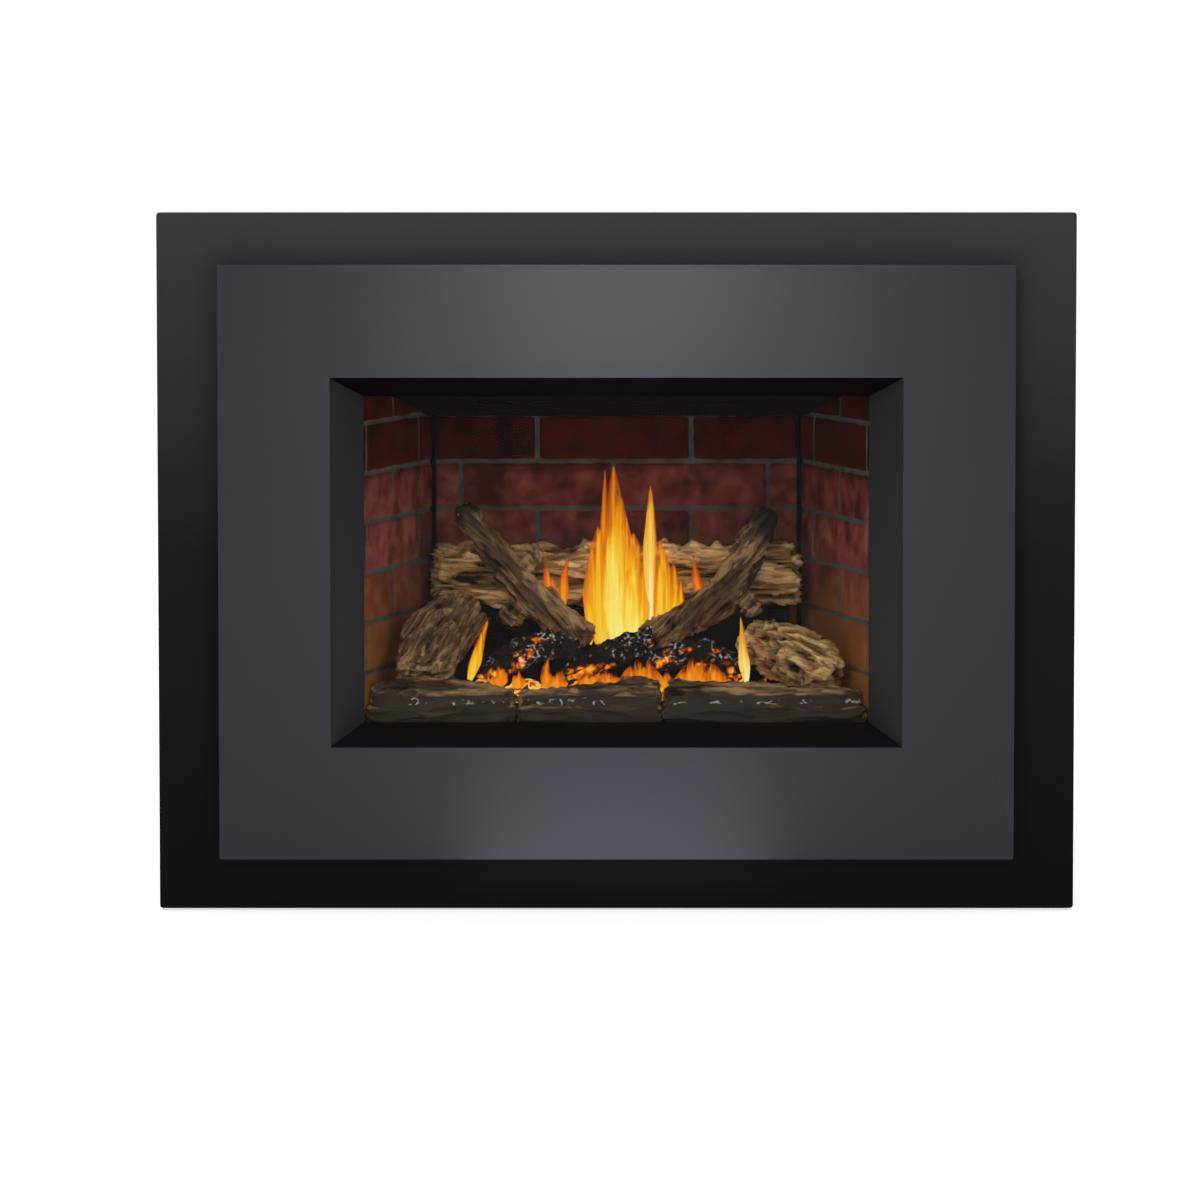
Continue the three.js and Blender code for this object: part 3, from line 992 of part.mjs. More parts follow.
// ---------------------------------------------------------------- log shelf
const shelfProfile = outline([
  [SHELF_FRONT, burnerZ], [SHELF_FRONT + SHELF_SHEET, burnerZ],
  [SHELF_FRONT + SHELF_SHEET, SHELF_Z - SHELF_SHEET],
  [SHELF_BACK - SHELF_SHEET, SHELF_Z - SHELF_SHEET], [SHELF_BACK - SHELF_SHEET, burnerZ + SHELF_SHEET],
  [SHELF_BACK - 20, burnerZ + SHELF_SHEET], [SHELF_BACK - 20, burnerZ],
  [SHELF_BACK, burnerZ], [SHELF_BACK, SHELF_Z],
  [SHELF_FRONT, SHELF_Z],
]);
add('log_shelf', sidePrism(shelfProfile, -SHELF_WIDTH / 2, SHELF_WIDTH / 2), sootBlack);

// ---------------------------------------------------------------- logs
// Cast ceramic logs. Each is a lumpy section swept along a bent axis, with bark ridges along it.
// Axis points are (x, depth behind the side panels' front, height over the floor, radius).
// `grow` swells a log, to cut the room for it out of a neighbour.
const LOG_GAP = 0.4;
const unit = (seed) => {
  const value = Math.sin(seed * 127.1) * 43758.5453;
  return value - Math.floor(value);
};

function sweptLog(spec, grow) {
  const { axis, seed, wide = 1, tall = 1, ridges = 5, ridgeDepth = 0.07, steps = 7, sides = 12 } = spec;
  const places = axis.map(([x, depth, height]) => (
    new THREE.Vector3(x, BRICK_Y + depth, FIREBOX_FLOOR_Z + height)
  ));
  const path = new THREE.CatmullRomCurve3(places, false, 'centripetal');
  const up = new THREE.Vector3(0, 0, 1);
  const points = [];
  const ringAt = (u, scale, reach) => {
    const centre = path.getPoint(u);
    const along = path.getTangent(u);
    const sideways = along.clone().cross(up).normalize();
    const upward = sideways.clone().cross(along).normalize();
    const slot = Math.min(axis.length - 2, Math.floor(u * (axis.length - 1)));
    const share = u * (axis.length - 1) - slot;
    const radius = axis[slot][3] * (1 - share) + axis[slot + 1][3] * share;
    centre.addScaledVector(along, reach * radius + Math.sign(reach) * grow);
    for (let i = 0; i < sides; i += 1) {
      const angle = (i / sides) * 2 * Math.PI;
      const ripple = Math.sin(ridges * angle + seed * 3 + 2 * u) + 0.6 * Math.sin(2 * angle + seed + 9 * u);
      const bark = ridgeDepth * ripple;
      const lump = 0.09 * (unit(seed * 17 + Math.round(u * steps) * 3 + (i % 5)) - 0.5);
      const r = radius * (1 + bark + lump) * scale + grow;
      points.push(centre.clone().addScaledVector(sideways, Math.cos(angle) * r * wide)
        .addScaledVector(upward, Math.sin(angle) * r * tall));
    }
    return centre;
  };
  const first = ringAt(0, 0.78, -0.14);
  for (let i = 0; i <= steps; i += 1) ringAt(i / steps, 1, 0);
  const last = ringAt(1, 0.78, 0.14);
  const rings = steps + 3;
  const faces = [];
  for (let k = 0; k < rings - 1; k += 1) {
    for (let i = 0; i < sides; i += 1) {
      const [a, b] = [k * sides + i, k * sides + (i + 1) % sides];
      faces.push(a, b, a + sides, b, b + sides, a + sides);
    }
  }
  const [firstIndex, lastIndex] = [points.length, points.length + 1];
  points.push(first, last);
  for (let i = 0; i < sides; i += 1) {
    const next = (i + 1) % sides;
    faces.push(next, i, firstIndex, (rings - 1) * sides + i, (rings - 1) * sides + next, lastIndex);
  }
  const geometry = new THREE.BufferGeometry().setFromPoints(points);
  geometry.setIndex(faces);
  return solid(geometry);
}

// A log with its side stubs and its flat feet, which stand on the firebox floor or the shelf.
function castLog({ stubs = [], feet = [], ...trunk }, grow = 0) {
  const arms = stubs.map((axis, i) => (
    sweptLog({ ...trunk, axis, seed: trunk.seed + i + 1, steps: 3, sides: 8 }, grow)
  ));
  const pads = feet.map(([x0, x1, y0, y1, height]) => (
    box(x0 - grow, x1 + grow, BRICK_Y + y0 - grow, BRICK_Y + y1 + grow, floorZ, floorZ + height)
  ));
  return join(sweptLog(trunk, grow), ...arms, ...pads);
}

const floorZ = FIREBOX_FLOOR_Z + SEAT;
const LOGS = {
  left_branch: {
    axis: [
      [-188, 227, 256, 13], [-155, 213, 212, 17], [-119, 191, 168, 20],
      [-82, 168, 137, 21], [-40, 143, 104, 18],
    ],
    seed: 2,
    stubs: [
      [[-118, 193, 172, 12], [-104, 205, 190, 11], [-95, 211, 208, 9]],
      [[-104, 183, 151, 15], [-120, 168, 136, 14], [-134, 157, 126, 12]],
    ],
  },
  right_branch: {
    axis: [
      [181, 227, 250, 16], [160, 213, 204, 19], [140, 193, 166, 22],
      [119, 174, 144, 22], [76, 154, 123, 19], [34, 134, 105, 16],
    ],
    seed: 3,
    stubs: [
      [[143, 191, 162, 13], [156, 179, 148, 12], [168, 165, 134, 11]],
    ],
  },
  rear_log: {
    axis: [
      [-214, 236, 175, 36], [-117, 239, 170, 38], [-1, 241, 171, 38],
      [102, 239, 171, 39], [216, 236, 174, 36],
    ],
    seed: 1, wide: 0.66, ridges: 7, ridgeDepth: 0.07, steps: 11, sides: 16,
  },
  left_side_log: {
    axis: [[-226, 52, 66, 36], [-222, 88, 98, 38], [-206, 124, 118, 36], [-180, 158, 128, 30]],
    seed: 4, feet: [[-248, -204, 74, 110, 74]],
  },
  right_side_log: {
    axis: [[250, 58, 62, 26], [228, 78, 82, 33], [196, 100, 94, 33], [162, 126, 102, 26]],
    seed: 5, feet: [[204, 248, 74, 110, 74]],
  },
  ember_log_left: {
    axis: [[-160, 84, 58, 15], [-127, 96, 84, 19], [-85, 108, 100, 20], [-46, 116, 94, 16]],
    seed: 6,
  },
  ember_log_right: {
    axis: [[40, 92, 76, 15], [76, 98, 90, 19], [118, 100, 88, 19], [150, 88, 62, 15]],
    seed: 7,
  },
  ember_log_centre: {
    axis: [[-62, 78, 62, 15], [-20, 88, 84, 18], [22, 104, 100, 18], [44, 119, 108, 14]],
    seed: 8,
  },
};

// Front logs lie side by side behind the glass, each on a flat-fronted base.
const FRONT_LOG_SETBACK = 7;
const FRONT_LOG_DEPTH = 55;
const FRONT_LOG_BASE = 34;
const FRONT_LOG_SPLIT = 2; // gap between neighbours
const frontLogY = [BRICK_Y + FRONT_LOG_SETBACK, BRICK_Y + FRONT_LOG_SETBACK + FRONT_LOG_DEPTH];
const FRONT_SPLITS = [-118, 54];
const frontHalf = BRICK_FRONT_HALF - 3.5;
const frontLogs = {
  front_log_left: {
    x: [-frontHalf, FRONT_SPLITS[0] - FRONT_LOG_SPLIT / 2],
    tops: [[7 - frontHalf, 24], [-226, 35], [-175, 29], [FRONT_SPLITS[0] - 7, 19]],
    seed: 9,
  },
  front_log_centre: {
    x: [FRONT_SPLITS[0] + FRONT_LOG_SPLIT / 2, FRONT_SPLITS[1] - FRONT_LOG_SPLIT / 2],
    tops: [[FRONT_SPLITS[0] + 6, 15], [-68, 17], [14, 31], [FRONT_SPLITS[1] - 6, 28]],
    seed: 10,
  },
  front_log_right: {
    x: [FRONT_SPLITS[1] + FRONT_LOG_SPLIT / 2, frontHalf],
    tops: [[FRONT_SPLITS[1] + 6, 26], [110, 29], [205, 24], [frontHalf - 6, 18]],
    seed: 11,
  },
};
const insideBricks = planPrism(boxPlan(BRICK_Y, BACK_BRICK_Y, -1.5), floorZ, CASING_TOP_Z);
function frontLog({ x, tops, seed }, grow = 0) {
  const middle = FRONT_LOG_SETBACK + FRONT_LOG_DEPTH / 2 + 4;
  const axis = tops.map(([at, r]) => [at, middle, FRONT_LOG_BASE + 2, r]);
  const bark = sweptLog({ axis, seed, steps: 7, sides: 12, ridges: 5 }, grow);
  const across = [x[0] - grow, x[1] + grow];
  const base = box(...across, frontLogY[0], frontLogY[1] - 6 + grow, floorZ, floorZ + FRONT_LOG_BASE + grow);
  const share = box(...across, frontLogY[0], frontLogY[1] + 4, floorZ, CASING_TOP_Z);
  return join(bark, base).intersect(share).intersect(insideBricks);
}
const laid = [];
for (const [name, spec] of Object.entries(frontLogs)) {
  add(name, largest(frontLog(spec)), barkBrown);
  laid.push(frontLog(spec, LOG_GAP));
}

// Later logs are cut to the ones already laid, which keeps a gap of LOG_GAP between them.
const shelfTop = box(-SHELF_WIDTH, SHELF_WIDTH, SHELF_FRONT - 30, SHELF_BACK + 5, floorZ, SHELF_Z + SEAT);
const shelfRoom = box(
  -SHELF_WIDTH / 2 - LOG_GAP, SHELF_WIDTH / 2 + LOG_GAP, SHELF_FRONT - LOG_GAP, SHELF_BACK + LOG_GAP,
  floorZ, SHELF_Z + LOG_GAP,
);
for (const [name, spec] of Object.entries(LOGS)) {
  let body = castLog(spec).intersect(insideBricks);
  body = cut(body, name === 'rear_log' ? shelfTop : shelfRoom);
  body = cut(body, ...laid);
  laid.push(castLog(spec, LOG_GAP));
  add(name, largest(body), name.startsWith('ember') ? charBlack : barkBrown);
}

// ---------------------------------------------------------------- ember bed
// A mat over the ports, heaped with lumps that the logs press into.
const matTop = BED_Z + SEAT + EMBER_BED;
const mat = box(
  5 - BURNER_WIDTH / 2, BURNER_WIDTH / 2 - 5, BURNER_FRONT + 3, BURNER_BACK - 4, BED_Z + SEAT, matTop,
);
const LUMPS = 24;
const lumps = Array.from({ length: LUMPS }, (_, i) => {
  const radius = 9 + 6 * unit(i + 0.3);
  const heap = i % 2 === 0 ? 26 : 12;
  const x = (i / (LUMPS - 1) - 0.5) * (BURNER_WIDTH - 50);
  const y = BURNER_FRONT + 14 + 24 * unit(i * 1.7 + 4);
  const lump = new THREE.IcosahedronGeometry(radius, 0).rotateX(i).rotateY(i * 2).scale(1.25, 1, 0.9);
  return solid(lump).translate([x, y, matTop + heap * unit(i + 9) - 2]);
});
const ventHoles = portRows.slice(1).flatMap((y) => Array.from({ length: PORTS }, (_, i) => (
  rod(PORT_RADIUS + 1, BED_Z - 5, matTop + 40, 6).translate([20 - BURNER_WIDTH / 2 + i * portPitch, y, 0])
)));
const overPan = box(
  -BURNER_WIDTH / 2, BURNER_WIDTH / 2, BURNER_FRONT, BURNER_BACK, BED_Z + SEAT, BED_Z + 60,
);
const bed = cut(join(mat, ...lumps), ...ventHoles, ...laid).intersect(overPan);
add('ember_bed', largest(bed), emberOrange);

export default insert;
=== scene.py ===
# A direct-vent gas fireplace insert, burning: flat black surround, charcoal faceplate with a mitred black
# bevel, brick-lined firebox behind clear glass, and a cast log set on a pan burner.
import json
import math

import bpy
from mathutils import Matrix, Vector

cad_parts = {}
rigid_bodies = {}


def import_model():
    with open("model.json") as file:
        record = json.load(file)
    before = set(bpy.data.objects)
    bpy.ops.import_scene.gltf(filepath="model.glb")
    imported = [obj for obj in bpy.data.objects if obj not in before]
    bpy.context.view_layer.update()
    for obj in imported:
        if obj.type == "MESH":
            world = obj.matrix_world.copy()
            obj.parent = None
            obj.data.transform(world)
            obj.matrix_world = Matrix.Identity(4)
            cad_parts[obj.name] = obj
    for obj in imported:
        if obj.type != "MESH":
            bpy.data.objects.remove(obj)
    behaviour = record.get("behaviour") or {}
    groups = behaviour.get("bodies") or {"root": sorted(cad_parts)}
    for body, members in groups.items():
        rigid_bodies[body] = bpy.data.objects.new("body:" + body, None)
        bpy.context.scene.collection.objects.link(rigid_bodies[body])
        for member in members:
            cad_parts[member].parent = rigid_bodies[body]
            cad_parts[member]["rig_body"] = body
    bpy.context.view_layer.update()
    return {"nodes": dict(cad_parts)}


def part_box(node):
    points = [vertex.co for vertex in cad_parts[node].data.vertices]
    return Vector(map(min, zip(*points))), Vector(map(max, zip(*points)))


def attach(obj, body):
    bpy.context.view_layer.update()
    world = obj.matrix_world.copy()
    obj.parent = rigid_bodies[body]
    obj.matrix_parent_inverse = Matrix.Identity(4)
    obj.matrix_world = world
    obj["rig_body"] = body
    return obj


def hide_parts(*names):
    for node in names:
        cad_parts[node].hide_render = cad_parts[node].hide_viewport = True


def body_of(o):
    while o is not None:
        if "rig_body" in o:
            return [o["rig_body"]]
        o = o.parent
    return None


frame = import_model()
bpy.ops.object.select_all(action="DESELECT")

# ------------------------------------------------------------------ camera
# A long lens about six metres off, with its eye above the insert, so that the hearth's inside shows
# from slightly over the logs.
surround_low, surround_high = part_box("surround_backer")
faceplate_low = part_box("faceplate")[0]
middle_z = (surround_low.z + surround_high.z) / 2
eye_distance = 6.0
eye_above_middle = 0.461
look_down = math.radians(3.74)
camera_data = bpy.data.cameras.new("photograph_camera")
camera_data.sensor_width = 36
camera_data.lens = 155.7
camera_data.shift_x = -0.01375
camera_data.shift_y = -0.08
camera_data.clip_end = 60
camera = bpy.data.objects.new("photograph_camera", camera_data)
bpy.context.scene.collection.objects.link(camera)
camera.location = (0, faceplate_low.y - eye_distance, middle_z + eye_above_middle)
camera.rotation_euler = (math.pi / 2 - look_down, 0, 0)
bpy.context.scene.camera = camera

# ------------------------------------------------------------------ studio
# A pale floor that curves up behind the insert, a grey room, three soft boxes and two strip lamps that
# shine on the faceplate. Floor and room read as white to the camera, and the floor keeps the shadow.
bpy.context.scene.view_settings.view_transform = "Standard"


def byte_colour(red, green, blue):
    """A screen colour, 0 to 255 each, as the linear colour that a shader takes."""
    shares = [value / 255 for value in (red, green, blue)]
    return (*[v / 12.92 if v <= 0.0404 else ((v + 0.055) / 1.055) ** 2.4 for v in shares], 1.0)


def only(piece):
    """Selects this one object and makes it the active one."""
    bpy.ops.object.select_all(action="DESELECT")
    piece.select_set(True)
    bpy.context.view_layer.objects.active = piece


floor_width, floor_depth = 16, 14
floor_middle_y = -1.5
wall_height = 7
cove_radius = 1.6
bpy.ops.mesh.primitive_plane_add(size=1, location=(0, 0, 0))
floor = bpy.context.active_object
floor.name = "studio_floor"
bpy.ops.object.mode_set(mode="EDIT")
bpy.ops.transform.resize(value=(floor_width, floor_depth, 1))
bpy.ops.transform.translate(value=(0, floor_middle_y, -0.0005))
bpy.ops.mesh.select_mode(type="EDGE")
bpy.ops.mesh.select_all(action="DESELECT")
bpy.ops.object.mode_set(mode="OBJECT")
for edge in floor.data.edges:
    edge.select = all(floor.data.vertices[i].co.y > 0 for i in edge.vertices)
bpy.ops.object.mode_set(mode="EDIT")
bpy.ops.mesh.extrude_region_move(TRANSFORM_OT_translate={"value": (0, 0, wall_height)})
bpy.ops.mesh.select_all(action="DESELECT")
bpy.ops.object.mode_set(mode="OBJECT")
for edge in floor.data.edges:
    ends = [floor.data.vertices[i].co for i in edge.vertices]
    edge.select = all(end.y > 5 and abs(end.z) < 0.01 for end in ends)
bpy.ops.object.mode_set(mode="EDIT")
bpy.ops.mesh.bevel(offset=cove_radius, segments=16, affect="EDGES")
bpy.ops.object.mode_set(mode="OBJECT")
bpy.ops.object.shade_smooth()


def seen_directly(tree):
    """1 for rays from the camera and for those that a gloss or a glass sends on, else 0."""
    path = tree.nodes.new("ShaderNodeLightPath")
    share = path.outputs["Is Camera Ray"]
    for ray in ("Is Glossy Ray", "Is Transmission Ray"):
        either = tree.nodes.new("ShaderNodeMath")
        either.operation = "MAXIMUM"
        tree.links.new(share, either.inputs[0])
        tree.links.new(path.outputs[ray], either.inputs[1])
        share = either.outputs[0]
    return share


floor_paper = bpy.data.materials.new("floor_paper")
floor_paper.use_nodes = True
nodes, links = floor_paper.node_tree.nodes, floor_paper.node_tree.links
nodes.clear()
output = nodes.new("ShaderNodeOutputMaterial")
matt = nodes.new("ShaderNodeBsdfDiffuse")
matt.inputs["Color"].default_value = byte_colour(242, 242, 242)
white = nodes.new("ShaderNodeEmission")
white.inputs["Color"].default_value = (1, 1, 1, 1)
glow = nodes.new("ShaderNodeMath")
glow.operation = "MULTIPLY"
glow.inputs[1].default_value = 0.62
both = nodes.new("ShaderNodeAddShader")
links.new(seen_directly(floor_paper.node_tree), glow.inputs[0])
links.new(glow.outputs[0], white.inputs["Strength"])
links.new(matt.outputs[0], both.inputs[0])
links.new(white.outputs[0], both.inputs[1])
links.new(both.outputs[0], output.inputs["Surface"])
floor.data.materials.append(floor_paper)

room = bpy.data.worlds.new("room")
room.use_nodes = True
bpy.context.scene.world = room
nodes, links = room.node_tree.nodes, room.node_tree.links
nodes.clear()
output = nodes.new("ShaderNodeOutputWorld")
grey_room = nodes.new("ShaderNodeBackground")
grey_room.inputs["Color"].default_value = (1, 1, 1, 1)
grey_room.inputs["Strength"].default_value = 0.33
white_room = nodes.new("ShaderNodeBackground")
white_room.inputs["Color"].default_value = (1, 1, 1, 1)
white_room.inputs["Strength"].default_value = 1.0
pick = nodes.new("ShaderNodeMixShader")
links.new(seen_directly(room.node_tree), pick.inputs["Fac"])
links.new(grey_room.outputs[0], pick.inputs[1])
links.new(white_room.outputs[0], pick.inputs[2])
links.new(pick.outputs[0], output.inputs["Surface"])


def soft_box(name, place, aim, size, power):
    """A rectangular area lamp at `place` that faces `aim`, seen only by what it lights."""
    lamp_data = bpy.data.lights.new(name, "AREA")
    lamp_data.shape = "RECTANGLE"
    lamp_data.size, lamp_data.size_y = size
    lamp_data.energy = power
    lamp = bpy.data.objects.new(name, lamp_data)
    bpy.context.scene.collection.objects.link(lamp)
    lamp.location = place
    lamp.visible_camera = False
    lamp.rotation_euler = (Vector(aim) - Vector(place)).to_track_quat("-Z", "Y").to_euler()


soft_box("key_box", (-1.6, -4.2, 3.4), (0, 0, 0.4), (2.4, 2.0), 70)
soft_box("fill_box", (2.8, -3.6, 2.0), (0, 0, 0.4), (2.0, 2.0), 30)
soft_box("front_strip", (0, -6.5, 0.72), (0, 0, 0.40), (0.4, 0.6), 30)
soft_box("floor_strip", (0, -1.0, 0.01), (0, -1.0, 1.0), (0.36, 1.4), 5)
soft_box("back_box", (0, 3.6, 3.0), (0, 0.2, 0.4), (2.5, 1.5), 40)

# ------------------------------------------------------------------ surround
# The flat backing pan that hides the rough edge of the fireplace opening: 2 mm steel with its edges folded
# back to the wall, sprayed satin black. It hangs on the casing's front flange.
def copy_of(node, name):
    """A merged copy of a CAD piece, flat faces whole again, ready to be worked on."""
    piece = bpy.data.objects.new(name, frame["nodes"][node].data.copy())
    bpy.context.scene.collection.objects.link(piece)
    only(piece)
    bpy.ops.object.mode_set(mode="EDIT")
    bpy.ops.mesh.select_all(action="SELECT")
    bpy.ops.mesh.remove_doubles(threshold=0.00001)
    bpy.ops.mesh.dissolve_limited(angle_limit=math.radians(0.4))
    bpy.ops.object.mode_set(mode="OBJECT")
    piece.data.materials.clear()
    return piece


def apply_modifiers(piece):
    """Applies the piece's modifiers from the top down."""
    only(piece)
    for modifier in list(piece.modifiers):
        bpy.ops.object.modifier_apply(modifier=modifier.name)


def folded_edges(node, name, radius, material):
    """The CAD piece with its sharp edges rounded as sheet folds are, riding where the CAD piece does."""
    piece = copy_of(node, name)
    bpy.ops.object.shade_smooth()
    fold = piece.modifiers.new("folds", "BEVEL")
    fold.width = radius
    fold.segments = 2
    fold.limit_method = "ANGLE"
    fold.angle_limit = math.radians(40)
    flat = piece.modifiers.new("flat_faces", "WEIGHTED_NORMAL")
    flat.weight = 100
    flat.keep_sharp = False
    apply_modifiers(piece)
    piece.data.materials.append(material)
    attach(piece, body_of(frame["nodes"][node])[0])
    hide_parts(node)


def new_material(name):
    """An empty material with its output and Principled shader, for the finishes below."""
    material = bpy.data.materials.new(name)
    material.use_nodes = True
    material.node_tree.nodes.clear()
    out = material.node_tree.nodes.new("ShaderNodeOutputMaterial")
    shader = material.node_tree.nodes.new("ShaderNodeBsdfPrincipled")
    material.node_tree.links.new(shader.outputs["BSDF"], out.inputs["Surface"])
    return material, shader


def add_node(material, kind, links=(), **settings):
    """Adds a node, sets its properties and inputs, and joins (socket, source) pairs into it."""
    node = material.node_tree.nodes.new(kind)
    for key, value in settings.items():
        if hasattr(node, key):
            setattr(node, key, value)
        else:
            node.inputs[key.replace("_", " ")].default_value = value
    for socket, source in links:
        material.node_tree.links.new(source, node.inputs[socket])
    return node


def noise_at(material, place, scale, detail=4.0, roughness=0.55):
    """Noise over the piece's own coordinates; `scale` is bumps per metre, or three for a stretched grain."""
    if isinstance(scale, tuple):
        mapping = add_node(material, "ShaderNodeMapping", [("Vector", place)], Scale=scale)
        place, scale = mapping.outputs["Vector"], 1.0
    noise = add_node(
        material, "ShaderNodeTexNoise", [("Vector", place)], Scale=scale, Detail=detail, Roughness=roughness)
    return noise.outputs["Fac"]


def ramp(material, source, stops):
    """A colour ramp over `source` through (position, colour) stops."""
    node = add_node(material, "ShaderNodeValToRGB", [("Fac", source)])
    node.color_ramp.elements[0].position, node.color_ramp.elements[0].color = stops[0]
    node.color_ramp.elements[1].position, node.color_ramp.elements[1].color = stops[-1]
    for position, colour in stops[1:-1]:
        node.color_ramp.elements.new(position).color = colour
    return node.outputs["Color"]


def bump_into(material, shader, height, strength, distance):
    """Roughens the shader's surface by a height."""
    bump = add_node(material, "ShaderNodeBump", [("Height", height)], Strength=strength, Distance=distance)
    material.node_tree.links.new(bump.outputs["Normal"], shader.inputs["Normal"])


def sprayed_paint(name, low, middle, high, roughness, specular=0.3):
    """Powder coat: fine orange peel, a faint cloudiness, and a painted light-and-shade gradient in its tone
    from the foot to the head.
    """
    material, shader = new_material(name)
    place = add_node(material, "ShaderNodeTexCoord").outputs["Object"]
    height = add_node(material, "ShaderNodeSeparateXYZ", [("Vector", place)]).outputs["Z"]
    # Painted light and shade: the colour follows the height, from the low colour at the foot to the high one
    # at the head.
    level = add_node(
        material, "ShaderNodeMapRange", [("Value", height)], From_Min=0.0, From_Max=surround_high.z)
    cloud = noise_at(material, place, 5.0, 3.0)
    drift = add_node(material, "ShaderNodeMath", [(0, cloud)], operation="MULTIPLY_ADD")
    drift.inputs[1].default_value, drift.inputs[2].default_value = 0.16, -0.08
    painted_shade_and_cloud = add_node(
        material, "ShaderNodeMath", [(0, level.outputs[0]), (1, drift.outputs[0])], operation="ADD")
    colour = ramp(material, painted_shade_and_cloud.outputs[0], [(0.0, low), (0.5, middle), (1.0, high)])
    material.node_tree.links.new(colour, shader.inputs["Base Color"])
    peel = noise_at(material, place, 900.0, 2.0)
    rough = add_node(
        material, "ShaderNodeMapRange", [("Value", peel)], To_Min=roughness - 0.04, To_Max=roughness + 0.05)
    material.node_tree.links.new(rough.outputs[0], shader.inputs["Roughness"])
    shader.inputs["Specular IOR Level"].default_value = specular
    bump_into(material, shader, peel, 0.10, 0.0002)
    return material


# Painted light: the surround's black lifts from near black at its foot to grey at its head, a painted
# reflection that is brightest on its upper part.
satin_black = sprayed_paint(
    "satin_black_powder_coat", byte_colour(7, 7, 7), byte_colour(20, 20, 20), byte_colour(57, 57, 57),
    0.5, 0.05)
folded_edges("surround_backer", "surround_pan", 0.0012, satin_black)

# ------------------------------------------------------------------ faceplate
# The raised front: one 2 mm pan with a window, sprayed charcoal with a fine metallic fleck. It stands off
# the surround on the hanger frame, which magnets hold, and lifts off for service.
# Painted highlight: the charcoal is lighter at its foot than at its head, standing in for a sheen on the
# lower faceplate that the lamps don't reach.
charcoal = sprayed_paint(
    "charcoal_powder_coat", byte_colour(42, 43, 48), byte_colour(39, 40, 45), byte_colour(31, 32, 37),
    0.23, 0.2)
fleck_shader = next(n for n in charcoal.node_tree.nodes if n.type == "BSDF_PRINCIPLED")
fleck_shader.inputs["Metallic"].default_value = 0.3
folded_edges("faceplate", "faceplate_pan", 0.0014, charcoal)

# ------------------------------------------------------------------ hanger frame and bevel trim
# The hanger frame is two hat-section rails of galvanised sheet, joined over the window. The bevel is four
# steel strips that lean in from the window to the glass, mitred at the corners and sprayed satin black.
def galvanised_sheet(name, spangle=70.0, pale=158, dark=138):
    """Zinc-coated steel: crystal flakes of slightly different grey, with a soft brushed sheen."""
    material, shader = new_material(name)
    place = add_node(material, "ShaderNodeTexCoord").outputs["Object"]
    flakes = add_node(material, "ShaderNodeTexVoronoi", [("Vector", place)], Scale=spangle)
    flake = add_node(material, "ShaderNodeSeparateColor", [("Color", flakes.outputs["Color"])]).outputs["Red"]
    grain = noise_at(material, place, 14.0, 5.0)
    mixed = add_node(material, "ShaderNodeMath", [(0, flake), (1, grain)], operation="MULTIPLY")
    colour = ramp(material, mixed.outputs[0], [
        (0.0, byte_colour(dark, dark + 2, dark + 4)), (0.55, byte_colour(pale, pale + 2, pale + 4)),
    ])
    material.node_tree.links.new(colour, shader.inputs["Base Color"])
    rough = add_node(material, "ShaderNodeMapRange", [("Value", flake)], To_Min=0.36, To_Max=0.52)
    material.node_tree.links.new(rough.outputs[0], shader.inputs["Roughness"])
    shader.inputs["Metallic"].default_value = 0.75
    bump_into(material, shader, grain, 0.06, 0.001)
    return material


def dress(node, material):
    """Gives a CAD piece that keeps its own shape its finish."""
    piece = frame["nodes"][node]
    piece.data.materials.clear()
    piece.data.materials.append(material)


zinc = galvanised_sheet("galvanised_sheet")
folded_edges("hanger_frame", "hanger_frame_folded", 0.0004, zinc)

trim_black = sprayed_paint(
    "trim_black_paint", byte_colour(38, 38, 39), byte_colour(37, 37, 38), byte_colour(35, 35, 36), 0.48, 0.2)
# Painted shade: the top and bottom strips take a darker copy of the same trim paint, nearer black at the top
# strip than at the bottom one; the side strips keep the lighter copy.
shaded_trim_black = sprayed_paint(
    "trim_black_painted_shade", byte_colour(27, 27, 27), byte_colour(12, 12, 12), byte_colour(1, 1, 1), 0.55, 0.04)
for side in ("left", "right"):
    folded_edges(f"bevel_trim_{side}", f"bevel_strip_{side}", 0.0006, trim_black)
for side in ("top", "bottom"):
    folded_edges(f"bevel_trim_{side}", f"bevel_strip_{side}", 0.0006, shaded_trim_black)

# ------------------------------------------------------------------ glass door
# Clear ceramic glass in a folded steel frame, bedded in a woven glass-fibre rope. Two cam latches over
# its top edge hold it to the firebox mouth.
stove_black = sprayed_paint(
    "stove_black_paint", byte_colour(16, 16, 16), byte_colour(17, 17, 17), byte_colour(18, 18, 18), 0.7, 0.2)
folded_edges("door_frame", "door_frame_folded", 0.0008, stove_black)

clear_glass, shader = new_material("clear_ceramic_glass")
shader.inputs["Base Color"].default_value = byte_colour(60, 58, 54)
shader.inputs["Roughness"].default_value = 0.03
shader.inputs["IOR"].default_value = 1.45
shader.inputs["Alpha"].default_value = 0.045
glass_pane = copy_of("glass_pane", "ceramic_glass")
rim = glass_pane.modifiers.new("ground_rim", "BEVEL")
rim.width, rim.segments = 0.0006, 2
apply_modifiers(glass_pane)
glass_pane.data.materials.append(clear_glass)
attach(glass_pane, "glass_door")
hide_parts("glass_pane")

rope, shader = new_material("woven_glass_rope")
place = add_node(rope, "ShaderNodeTexCoord").outputs["Object"]
plait = add_node(rope, "ShaderNodeTexWave", [("Vector", place)], Scale=160.0, Distortion=1.2, Detail=2.0,
                 bands_direction="DIAGONAL")
colour = ramp(rope, plait.outputs["Fac"], [(0.1, byte_colour(46, 44, 41)), (0.8, byte_colour(104, 100, 93))])
rope.node_tree.links.new(colour, shader.inputs["Base Color"])
shader.inputs["Roughness"].default_value = 0.95
bump_into(rope, shader, plait.outputs["Fac"], 0.6, 0.0008)
folded_edges("glass_gasket", "glass_rope", 0.0012, rope)

